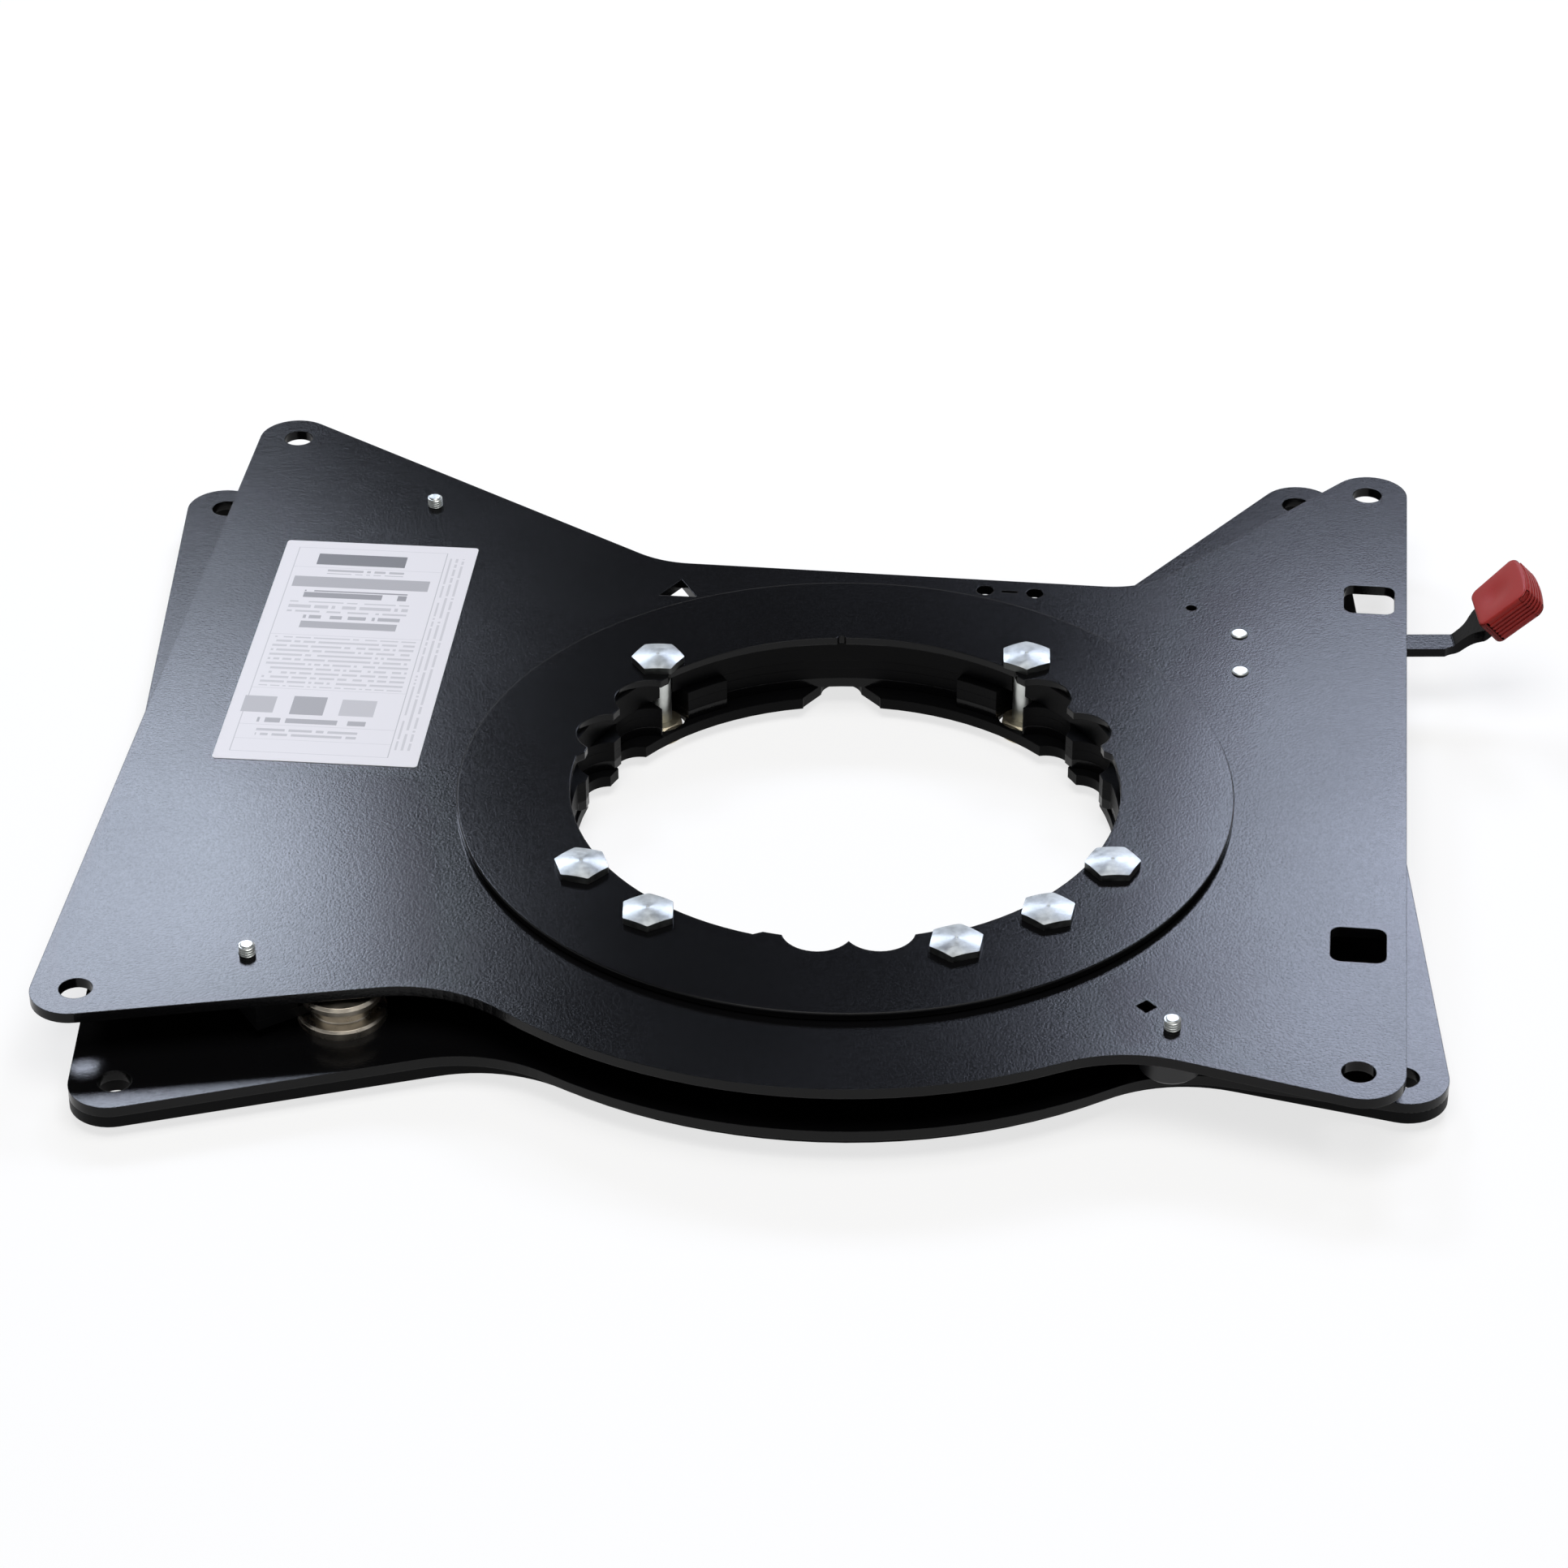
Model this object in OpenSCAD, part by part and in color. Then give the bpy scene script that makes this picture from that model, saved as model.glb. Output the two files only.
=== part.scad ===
// Swivel seat base: a turntable between a seat box and a seat.
// Origin: centre of the lower bolt pattern, on the underside. X to the right, Y to the back, Z up.
// Shapes of the plates are drawn from the swivel axis, then moved to the part's origin.

/* [Plates] */
// Distance between the corner holes, left to right
hole_span_x = 449; // [374:1:539]
// Distance between the corner holes, front to back
hole_span_y = 396; // [330:1:476]
// Diameter of the corner holes
hole_d = 12; // [8:0.5:15]
// Radius of each corner lobe round its hole
lobe_r = 15.3; // [12.5:0.1:19]
// How far the lobes lie outside their holes, sideways
side_out = 1; // [0.5:0.1:1.5]
// How far the swivel axis lies to the right of the hole pattern's centre
axis_right = 32; // [20:1:40]
// How far the swivel axis lies in front of the hole pattern's centre
axis_front = 44; // [35:1:55]
// Thickness of the upper plate
upper_t = 4; // [3:0.1:6]
// Thickness of the lower plate
lower_t = 4; // [3:0.1:6]
// Thickness of the bottom plate
bottom_t = 4.5; // [3.5:0.1:6]
// Distance from the clamp ring's edge to the straight back edge
back_margin = 12.7; // [8:0.1:20]
// Distance from the clamp ring's edge to the front bulge
bulge_margin = 39; // [32:0.5:47]
// How far the bottom plate's bulge lies inside the lower plate's
bottom_inset = 4.8; // [3:0.1:8]
// How much steeper the bottom plate's right front edge is than the lower plate's
bottom_skew = 4; // [2:0.1:6]

/* [Edges of the plates] */
// Slope of the left back edge, falling towards the middle
slope_back_left = 31.5; // [26:0.5:37]
// Slope of the right back edge, falling towards the middle
slope_back_right = 50.5; // [44:0.5:56]
// Slope of the left front edge, rising towards the middle
slope_front_left = 14.6; // [12:0.1:17]
// Slope of the right front edge, rising towards the middle
slope_front_right = 14; // [12:0.1:17]
// Fillet at the foot of the left back edge
fillet_back_left = 40; // [30:1:50]
// Fillet at the foot of the right back edge
fillet_back_right = 33; // [25:1:40]
// Fillets between the front edges and the bulge
fillet_front = 55; // [40:1:65]

/* [Rings] */
// Radius of the opening through the rings
open_r = 102.8; // [86:0.1:124]
// How far the lands between the scallops stand in from the opening
land_step = 2.5; // [1.5:0.1:3]
// Radius of each scallop
scallop_r = 13; // [11:0.1:15.5]
// How far the scallop centres lie inside the opening's radius
scallop_inset = 7.5; // [6.5:0.1:9]
// Half angle between the two scallops of the front pair
front_pair_half = 6.7; // [5.6:0.1:8]
// Half angle between the two scallops of the back pairs
back_pair_half = 8.4; // [7:0.1:10]
// Distance from the opening's radius to the bolt circle
bolt_inset = 8.7; // [7.5:0.1:10.5]
// Distance from the bolt circle to the outside of the hub
hub_wall = 8.5; // [7:0.1:10.5]
// How far the clamp ring reaches out past the hub
ring_cover = 25; // [21:0.5:30]
// Thickness of the clamp ring
ring_t = 3; // [2.5:0.1:4]
// Height of the slide ring that the upper plate turns on
slide_t = 5.4; // [4.5:0.1:6.5]
// Thickness of the spacer ring under the lock ring
spacer_t = 4.5; // [3.7:0.1:5.4]
// Thickness of the lock ring
lock_t = 4; // [3.5:0.1:5]
// How far the lock ring's rim reaches out past the clamp ring
rim_proud = 7; // [5.8:0.1:8.4]
// Depth of the locking notch in the rim
notch_depth = 7; // [5:0.1:8]

/* [Clamp bolts] */
// Diameter of the clamp bolts
bolt_d = 10; // [8:0.5:11]
// Width across the flats of a bolt head
head_af = 19; // [15.5:0.5:20]
// Height of a bolt head
head_h = 3.8; // [3.2:0.1:5]
// Width across the flats of a nut
nut_af = 17; // [15:0.5:18.5]
// Height of a nut
nut_h = 8; // [6.5:0.1:9]

/* [Lock post and claw] */
// Distance from the clamp ring's edge to the lock post's axis
post_out = 68.6; // [60:0.1:80]
// Angle of the lock post about the swivel axis
post_angle = -147.4; // [-150:0.1:-144]
// Radius of the post's lower flange
post_base_r = 16; // [14:0.1:18]
// Radius of the post's upper flange
post_top_r = 14.7; // [13.5:0.1:16]
// Radius of the post in its groove
post_core_r = 11; // [9.2:0.1:12.5]
// Thickness of the claw
claw_t = 4; // [3:0.1:5]
// Width of the claw's outer arm, which the screw goes through
claw_outer = 20.9; // [18:0.1:25]
// Width of the claw's inner arm
claw_inner = 6.1; // [5:0.1:7.5]

/* [Latch] */
// Thickness of the lever
lever_t = 3.6; // [3:0.1:4.8]
// Width of the lever's bar
bar_w = 11; // [9:0.1:13]
// How far the bar runs past the plate's edge before it bends up
bar_reach = 18.8; // [15:0.2:23]
// Angle by which the lever's end bends up
bend_angle = 44; // [36:0.5:50]
// Diameter of the lever's and the pawl's pins
pin_d = 6.4; // [5:0.1:7]
// Length of the red grip
grip_l = 24.4; // [20.2:0.2:29.4]
// Width of the red grip at its middle
grip_w = 26.4; // [22:0.2:31.8]
// How much wider the grip gets from its near end to its far end
grip_flare = 4; // [2:0.1:6]
// Thickness of the red grip
grip_t = 11.6; // [9.6:0.1:14]

/* [Small parts] */
// Diameter of the threaded screw ends
stud_d = 6; // [5:0.5:7]
// How far the screw ends stand above the upper plate
stud_proud = 4; // [3:0.5:8]
// Diameter of the support pads
pad_d = 22; // [18:0.5:23]
// Width of the label
label_w = 78.4; // [65:0.1:94]
// Length of the label
label_l = 162; // [135:1:194]

/* [Pose] */
// How far the upper plate stands turned from the locked position
rest_turn = 6.5; // [5.4:0.1:7.8]

/* [Hidden] */
$fn = 96;
black = [0.13, 0.14, 0.16];
zinc = [0.75, 0.76, 0.78];
steel = [0.7, 0.68, 0.62];

// Gaps
run_gap = 0.3;
slip = 0.06;
snug = 0.03;

// Radii from the opening outwards
bolt_circle_r = open_r + bolt_inset;
hub_r = bolt_circle_r + hub_wall;
hub_in_r = open_r + 4.2;
ring_r = hub_r + ring_cover;
inner_ring_r = ring_r - 2;
rim_r = ring_r + rim_proud;
land_r = open_r - land_step;
bottom_open_r = open_r - 3.3;
bottom_side_r = bottom_open_r + 2.4;
recess_r = open_r + 4.7;
bolt_hole_r = bolt_d / 2 + 0.5;
bush_wall = 3;
back_edge = ring_r + back_margin;
bulge_r = ring_r + bulge_margin;

// Heights from the underside upwards
z_lower = bottom_t;
z_spacer = z_lower + lower_t;
z_lock = z_spacer + spacer_t;
z_hub = z_lock + lock_t;
z_upper = z_hub + slide_t + run_gap;
z_top = z_upper + upper_t;
z_ring = z_top + run_gap;
z_head = z_ring + ring_t;
hub_h = z_ring - z_hub;
nut_down = nut_h - bottom_t;

// Angles on the rings
bottom_turn = 2.4;
bottom_half = back_pair_half - 1.4;
bolt_angles = [50, 130, 210, 230, 290, 310, 330];
back_bolts = [50, 130];
pairs = [[-90, front_pair_half], [30, back_pair_half], [150, back_pair_half]];
bottom_pairs = [[-90, front_pair_half], [30 - bottom_turn, bottom_half], [150 + bottom_turn, bottom_half]];
land_half = 17.5;
recess_half = 26;

// Corner holes, counted from the swivel axis
x_left = -hole_span_x / 2 - axis_right;
x_right = hole_span_x / 2 - axis_right;
y_back = hole_span_y / 2 + axis_front;
y_front = -hole_span_y / 2 + axis_front;
back_left = [x_left, y_back];
back_right = [x_right, y_back];
front_right = [x_right, y_front];
front_left = [x_left, y_front];
corners = [back_left, back_right, front_right, front_left];

// Centres of the corner lobes
lobe_bl = back_left - [side_out, 0];
lobe_br = back_right + [side_out, 0];
lobe_fr = front_right + [side_out, 0];
lobe_fl = front_left - [side_out, 0];

// Lock post, claw and screws
post_r = ring_r + post_out;
post_at = polar(post_r, post_angle);
tenon_r = 6;
post_base_t = 3.6;
post_top_t = 3.7;
groove_gap = 0.5;
z_claw = z_spacer + post_base_t + groove_gap;
z_claw_top = z_claw + claw_t;
slot_half = post_core_r + groove_gap;
claw_in_r = post_r - slot_half - claw_inner;
claw_out_r = post_r + slot_half + claw_outer;
claw_start = post_angle - 15.6;
claw_end = post_angle + 5.9;
block_end = post_angle - 5.6;
strip_in_r = post_r + post_top_r + 1.5;
claw_screw_at = polar(post_r + 23.7, post_angle - 0.4);
rear_pad_at = back_left + [67.2, -49];
front_pad_at = polar(ring_r + 41, -46.55);
stud_r = stud_d / 2;
stud_top = z_top + stud_proud;
pad_gap = 0.4;

// Latch: all its points are counted from the pawl's nose on the rim
nose_angle = 21.9;
nose_at = polar(rim_r + run_gap, nose_angle);
lever_at = nose_at + [1.9, 69.8];
pawl_at = nose_at + [3.1, 42.2];
drive_at = nose_at + [4.7, 56.2];
pin_r = pin_d / 2;
drive_r = 3;
pin_proud = 1;
pin_head_r = pin_r + 1.8;
pin_head_t = 1.2;
pawl_up = 0.2;
z_pawl = z_lock + pawl_up;
z_pawl_top = z_pawl + lock_t;
lever_gap = (z_upper - z_pawl_top - lever_t) / 2;
z_lever_top = z_upper - lever_gap;
z_lever = z_lever_top - lever_t;
bar_yaw = 6.5;
bar_off = 2.4;
bar_run = x_right + side_out + lobe_r - lever_at[0] + bar_reach;
crease_turn = 2;
bend_r = 1.5;
grip_start = 16.3;
grip_drop = (bend_r + lever_t / 2) * (1 - cos(bend_angle));
grip_over = 5;
tab_l = grip_start + grip_l - grip_over;
grip_across = 1.7;
grip_round = 2.4;
tab_side_front = 3;
tab_side_back = 4.6;
wire_r = 0.6;
coil_r = pin_r + 1.7 + run_gap + wire_r;
hook_angle = 240;

function polar(r, a) = [r * cos(a), r * sin(a)];

// Centre of the fillet between a sloping back edge and the straight one
function back_fillet(p, a, f) =
    let (y = back_edge + f)
    [(p * polar(1, a) + f - y * sin(a)) / cos(a), y];

// Centre of the fillet between a sloping front edge and the bulge
function front_fillet(p, a, side, r, f) =
    let (k = p * polar(1, a) + f)
    let (t = sqrt(pow(r + f, 2) - k * k))
    k * polar(1, a) + side * t * polar(1, a + 90);

// Points along a fillet
function arc(c, r, a0, a1) =
    let (n = 12)
    [for (i = [0:n]) c + polar(r, a0 + (a1 - a0) * i / n)];

module at_axis(z) {
    translate([axis_right, -axis_front, z]) children();
}

module on_swivel(z) {
    at_axis(z) rotate(-rest_turn) children();
}

module place(p) {
    translate([p[0], p[1], 0]) children();
}

// Two round ends joined by their common tangents
module link2d(p, q, rp, rq) {
    hull() {
        translate(p) circle(r = rp, $fn = 48);
        translate(q) circle(r = rq, $fn = 48);
    }
}

module sector2d(r_in, r_out, a0, a1) {
    far = 1.4 * r_out;
    mid = (a0 + a1) / 2;
    intersection() {
        difference() {
            circle(r = r_out, $fn = 192);
            circle(r = r_in, $fn = 192);
        }
        polygon([[0, 0], polar(far, a0), polar(far, mid), polar(far, a1)]);
    }
}

// Outline that the plates share; the bottom plate's bulge lies further in and its right front edge is steeper
module blank2d(inset, skew) {
    a_bl = 90 - slope_back_left;
    a_br = 90 + slope_back_right;
    a_fl = slope_front_left - 90;
    a_fr = -90 - slope_front_right - skew;
    p_bl = lobe_bl + polar(lobe_r, a_bl);
    p_br = lobe_br + polar(lobe_r, a_br);
    p_fl = lobe_fl + polar(lobe_r, a_fl);
    p_fr = lobe_fr + polar(lobe_r, a_fr);
    c_bl = back_fillet(p_bl, a_bl, fillet_back_left);
    c_br = back_fillet(p_br, a_br, fillet_back_right);
    c_fl = front_fillet(p_fl, a_fl, -1, bulge_r - inset, fillet_front);
    c_fr = front_fillet(p_fr, a_fr, 1, bulge_r - inset, fillet_front);
    in_fl = atan2(-c_fl[1], -c_fl[0]);
    in_fr = atan2(-c_fr[1], -c_fr[0]);
    polygon(concat(
        [lobe_fl + polar(lobe_r, 180), p_fl],
        arc(c_fl, fillet_front, a_fl + 180, in_fl),
        arc(c_fr, fillet_front, in_fr, a_fr + 180),
        [p_fr, lobe_fr + polar(lobe_r, 0), lobe_br + polar(lobe_r, 0), p_br],
        arc(c_br, fillet_back_right, a_br - 180, -90),
        arc(c_bl, fillet_back_left, -90, a_bl - 180),
        [p_bl, lobe_bl + polar(lobe_r, 180)]
    ));
    for (c = [lobe_bl, lobe_br, lobe_fr, lobe_fl]) translate(c) circle(r = lobe_r);
    intersection() {
        circle(r = bulge_r - inset, $fn = 192);
        translate([-bulge_r, -bulge_r]) square([2 * bulge_r, bulge_r]);
    }
}

module corner_holes2d() {
    for (c = corners) translate(c) circle(d = hole_d);
}

// Opening with three pairs of scallops, and lands beside them
module opening2d(r, r_land, r_scallop) {
    circle(r = r_land, $fn = 192);
    intersection() {
        circle(r = r, $fn = 192);
        for (p = pairs) rotate(p[0]) polygon([
            polar(r_land - 1, land_half - 0.5),
            polar(r + 1, land_half + 2.5),
            polar(1.4 * r, land_half + 20),
            polar(1.4 * r, 60),
            polar(1.4 * r, 100 - land_half),
            polar(r + 1, 117.5 - land_half),
            polar(r_land - 1, 120.5 - land_half)
        ]);
    }
    for (p = pairs) for (s = [-1, 1]) {
        rotate(p[0] + s * p[1]) translate([open_r - scallop_inset, 0]) circle(r = r_scallop);
    }
}

module bolt_holes2d(r) {
    for (a = bolt_angles) translate(polar(bolt_circle_r, a)) circle(r = r, $fn = 48);
}

// Everything that is cut through the lower layers: opening, back recess, bolt pockets and holes
module stack_void2d() {
    pocket_r = bolt_d / 2 + 2.5;
    opening2d(open_r, land_r, scallop_r);
    sector2d(1, recess_r, 90 - recess_half, 90 + recess_half);
    bolt_holes2d(bolt_hole_r);
    for (a = back_bolts) rotate(a) {
        translate([bolt_circle_r - 2, 0]) circle(r = pocket_r, $fn = 48);
        translate([land_r - 12, -pocket_r]) square([bolt_circle_r + 10 - land_r, 2 * pocket_r]);
    }
}

// Flat ring with small chamfers on both outer edges
module bevelled_disc(r, h, c) {
    rotate_extrude($fn = 192) polygon([[0, 0], [r - c, 0], [r, c], [r, h - c], [r - c, h], [0, h]]);
}

// The bottom plate's opening is narrower at the back, with shallower scallops
module bottom_opening2d() {
    cut_r = scallop_r - 3.4;
    side_from = 17;
    side_to = -20;
    notch_y = bottom_open_r + 9;
    circle(r = bottom_open_r, $fn = 192);
    sector2d(1, bottom_side_r, side_to, side_from);
    sector2d(1, bottom_side_r, 180 - side_from, 180 - side_to);
    for (p = bottom_pairs) for (s = [-1, 1]) {
        rotate(p[0] + s * p[1]) translate([bottom_open_r - 3.8, 0]) circle(r = cut_r);
    }
    polygon([
        [-16, bottom_open_r - 5],
        [16, bottom_open_r - 5],
        [15, bottom_open_r],
        [8, notch_y],
        [-8, notch_y],
        [-15, bottom_open_r]
    ]);
    translate([0, notch_y - 0.5]) circle(r = 8);
}

module bottom_plate() {
    color(black) at_axis(0) linear_extrude(bottom_t) difference() {
        blank2d(bottom_inset, bottom_skew);
        corner_holes2d();
        bottom_opening2d();
        bolt_holes2d(nut_af / 2 / cos(30) + 0.7);
        translate(post_at) circle(r = tenon_r + snug);
    }
}

module lower_plate() {
    color(black) at_axis(z_lower) linear_extrude(lower_t) difference() {
        blank2d(0, 0);
        corner_holes2d();
        stack_void2d();
        translate(post_at) circle(r = tenon_r + snug);
    }
}

module spacer_ring() {
    color(black) at_axis(z_spacer) linear_extrude(spacer_t) difference() {
        circle(r = inner_ring_r, $fn = 192);
        stack_void2d();
    }
}

module lock_ring() {
    notch_w = 10;
    color(black) at_axis(z_lock) linear_extrude(lock_t) difference() {
        circle(r = rim_r, $fn = 192);
        stack_void2d();
        rotate(nose_angle) polygon([
            [rim_r - notch_depth, -notch_w / 2 + 0.5],
            [rim_r + 5, -notch_w / 2 - 0.5],
            [rim_r + 5, notch_w / 2 + 0.5],
            [rim_r - notch_depth, notch_w / 2 - 0.5]
        ]);
    }
}

module hub_ring() {
    color(black) at_axis(z_hub) linear_extrude(hub_h) difference() {
        circle(r = hub_r, $fn = 192);
        circle(r = hub_in_r, $fn = 192);
        bolt_holes2d(bolt_hole_r);
    }
}

module slide_ring() {
    color([0.2, 0.2, 0.21]) at_axis(z_hub) difference() {
        bevelled_disc(inner_ring_r, slide_t, 0.6);
        translate([0, 0, -1]) cylinder(r = hub_r + run_gap, h = slide_t + 2, $fn = 192);
    }
}

module clamp_ring() {
    color(black) at_axis(z_ring) difference() {
        bevelled_disc(ring_r, ring_t, 0.35);
        translate([0, 0, -1]) linear_extrude(ring_t + 2) {
            opening2d(open_r, land_r, scallop_r);
            bolt_holes2d(bolt_hole_r);
            translate([0, open_r - 0.4]) circle(r = 1.7, $fn = 24);
        }
    }
}

// Hexagon with both ends turned to a cone, as on a bolt head or nut
module hex2way(af, h, both) {
    corner_r = af / 2 / cos(30);
    drop = (corner_r - af / 2 + 0.3) * tan(30);
    low = both ? drop : 0;
    intersection() {
        cylinder(r = corner_r, h = h, $fn = 6);
        rotate_extrude($fn = 48) polygon([
            [0, 0],
            [both ? af / 2 - 0.3 : corner_r + 1, 0],
            [corner_r + (both ? 0 : 1), low],
            [corner_r + (both ? 0 : 1), h - drop],
            [corner_r, h - drop],
            [af / 2 - 0.3, h],
            [0, h]
        ]);
    }
}

module clamp_bolt() {
    washer_h = 0.4;
    mark_r = 1.2;
    difference() {
        union() {
            cylinder(r = head_af / 2 - 0.4, h = washer_h, $fn = 48);
            translate([0, 0, washer_h]) hex2way(head_af, head_h - washer_h, false);
            translate([0, 0, -z_head - nut_down - 0.5]) cylinder(d = bolt_d, h = z_head + nut_down + 1, $fn = 48);
        }
        translate([0, 0, head_h - 0.5]) cylinder(r = mark_r, h = 1, $fn = 24);
    }
}

module clamp_bolts() {
    color(zinc) at_axis(z_head) for (a = bolt_angles) {
        place(polar(bolt_circle_r, a)) rotate(a) clamp_bolt();
    }
}

module clamp_nuts() {
    color(steel) at_axis(-nut_down) for (a = bolt_angles) {
        place(polar(bolt_circle_r, a)) rotate(a + 30) difference() {
            hex2way(nut_af, nut_h, true);
            translate([0, 0, -1]) cylinder(r = bolt_d / 2 + snug, h = nut_h + 2, $fn = 48);
        }
    }
}

module lock_post() {
    z1 = post_base_t;
    z2 = z1 + claw_t + 2 * groove_gap;
    z3 = z2 + post_top_t;
    color(steel) at_axis(z_spacer) place(post_at) rotate_extrude($fn = 64) polygon([
        [0, 0.3 - z_spacer],
        [tenon_r, 0.3 - z_spacer],
        [tenon_r, 0],
        [post_base_r, 0],
        [post_base_r, z1 - 0.8],
        [post_base_r - 0.8, z1],
        [post_core_r + 0.4, z1],
        [post_core_r, z1 + 0.4],
        [post_core_r, z2 - 0.4],
        [post_core_r + 0.4, z2],
        [post_top_r - 0.8, z2],
        [post_top_r, z2 + 0.8],
        [post_top_r, z3 - 1],
        [post_top_r - 1, z3],
        [3, z3],
        [0, z3 - 1]
    ]);
}

// Square window with rounded corners
module window2d(w, h, r) {
    difference() {
        square([w, h], center = true);
        for (sx = [-1, 1]) for (sy = [-1, 1]) {
            translate([sx * w / 2, sy * h / 2]) difference() {
                square(2 * r, center = true);
                translate([-sx * r, -sy * r]) circle(r = r, $fn = 48);
            }
        }
    }
}

module upper_plate() {
    color(black) on_swivel(z_upper) linear_extrude(upper_t) difference() {
        blank2d(0, 0);
        corner_holes2d();
        circle(r = hub_r + slip + bush_wall, $fn = 192);
        translate([x_right + 1.4, y_back - 83.3]) window2d(20, 21, 4);
        translate([x_right - 0.8, y_front + 75]) window2d(20, 21, 4);
        for (p = [claw_screw_at, rear_pad_at, front_pad_at]) translate(p) circle(r = stud_r + snug, $fn = 48);
        for (p = [lever_at, pawl_at]) translate(p) circle(r = pin_r + snug, $fn = 48);
        translate([-80.6, back_edge - 25.6]) polygon([[-7.4, -0.2], [7.6, 0.1], [0, 12.8]]);
        translate([41.2, back_edge - 8.1]) circle(d = 7, $fn = 48);
        translate([61.1, back_edge - 8.4]) circle(d = 7, $fn = 48);
        translate([50.9, back_edge - 8.3]) square([6.5, 1.6], center = true);
        translate([123.7, back_edge - 12.9]) circle(d = 4.3, $fn = 48);
        translate([118.4, 59.9 - bulge_r]) rotate(45) square(5.4, center = true);
    }
}

module centre_bush() {
    color([0.25, 0.25, 0.26]) on_swivel(z_upper) difference() {
        cylinder(r = hub_r + slip + bush_wall, h = upper_t, $fn = 192);
        translate([0, 0, -1]) cylinder(r = hub_r + slip, h = upper_t + 2, $fn = 192);
    }
}

module label() {
    label_t = 0.2;
    color("white") on_swivel(z_top) translate([x_left + 53.5, y_back - 164, 0]) rotate(1.2) {
        linear_extrude(label_t) window2d(label_w, label_l, 1.5);
    }
}

module claw() {
    color(black) on_swivel(z_claw) linear_extrude(claw_t) difference() {
        sector2d(claw_in_r, claw_out_r, claw_start, claw_end);
        sector2d(post_r - slot_half, post_r + slot_half, post_angle, claw_end + 5);
        translate(post_at) circle(r = slot_half, $fn = 64);
        translate(claw_screw_at) circle(r = stud_r + snug, $fn = 48);
    }
}

module claw_spacer() {
    color(black) on_swivel(z_claw_top) linear_extrude(z_upper - z_claw_top) difference() {
        union() {
            sector2d(claw_in_r, claw_out_r, claw_start, block_end);
            sector2d(strip_in_r, claw_out_r, claw_start, claw_end);
        }
        translate(claw_screw_at) circle(r = stud_r + snug, $fn = 48);
    }
}

// Button head below, threaded end above; z is the height of the head's seat
module screw(z, head_r, head_t) {
    difference() {
        union() {
            translate([0, 0, z]) rotate_extrude($fn = 48) polygon([
                [0, -head_t],
                [head_r - 1.8, -head_t],
                [head_r, -head_t + 1.6],
                [head_r, 0],
                [0, 0]
            ]);
            translate([0, 0, z]) cylinder(r = stud_r, h = stud_top - z - 0.8, $fn = 48);
            translate([0, 0, stud_top - 0.8]) cylinder(r1 = stud_r, r2 = stud_r - 0.8, h = 0.8, $fn = 48);
        }
        translate([0, 0, z - head_t - 1]) cylinder(r = 2.2, h = 2.8, $fn = 6);
    }
}

module claw_screw() {
    color(zinc) on_swivel(0) place(claw_screw_at) screw(z_claw, 5, 3.3);
}

// Plastic puck that keeps the plates apart, with its screw sunk in from below
module pad() {
    h = z_upper - z_spacer - pad_gap;
    sink = 5;
    difference() {
        rotate_extrude($fn = 64) polygon([[0, 0], [pad_d / 2 - 1.5, 0], [pad_d / 2, 1.5], [pad_d / 2, h], [0, h]]);
        translate([0, 0, -1]) cylinder(r = 5.6, h = sink + 1, $fn = 48);
        translate([0, 0, -1]) cylinder(r = stud_r + snug, h = h + 2, $fn = 48);
    }
}

module rear_pad() {
    color([0.1, 0.1, 0.11]) on_swivel(z_spacer + pad_gap) place(rear_pad_at) pad();
}

module front_pad() {
    color([0.1, 0.1, 0.11]) on_swivel(z_spacer + pad_gap) place(front_pad_at) pad();
}

module rear_pad_screw() {
    color(zinc) on_swivel(0) place(rear_pad_at) screw(z_spacer + pad_gap + 5, 5, 3.3);
}

module front_pad_screw() {
    color(zinc) on_swivel(0) place(front_pad_at) screw(z_spacer + pad_gap + 5, 5, 3.3);
}

// Pin through the upper plate with a flat head below; z is the top of the head
module head_pin(z) {
    translate([0, 0, z - pin_head_t]) cylinder(r = pin_head_r, h = pin_head_t, $fn = 48);
    translate([0, 0, z - pin_head_t]) cylinder(r = pin_r, h = z_top + pin_proud - z + pin_head_t - 0.5, $fn = 48);
    translate([0, 0, z_top + pin_proud - 0.5]) cylinder(r1 = pin_r, r2 = pin_r - 0.5, h = 0.5, $fn = 48);
}

module lever_pin() {
    color(zinc) on_swivel(0) place(lever_at) head_pin(z_lever - run_gap);
}

module pawl_pin() {
    color(zinc) on_swivel(0) place(pawl_at) head_pin(z_pawl - run_gap);
}

module pawl_bush() {
    z0 = z_pawl_top + run_gap;
    color(steel) on_swivel(z0) place(pawl_at) difference() {
        cylinder(r = pin_r + 1.7, h = z_upper - z0, $fn = 48);
        translate([0, 0, -1]) cylinder(r = pin_r + snug, h = z_upper - z0 + 2, $fn = 48);
    }
}

module spring_post() {
    z0 = z_pawl_top + run_gap;
    color(steel) on_swivel(z0) place(pawl_at + polar(14, 150)) cylinder(r = 1.5, h = z_upper - z0, $fn = 32);
}

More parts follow.
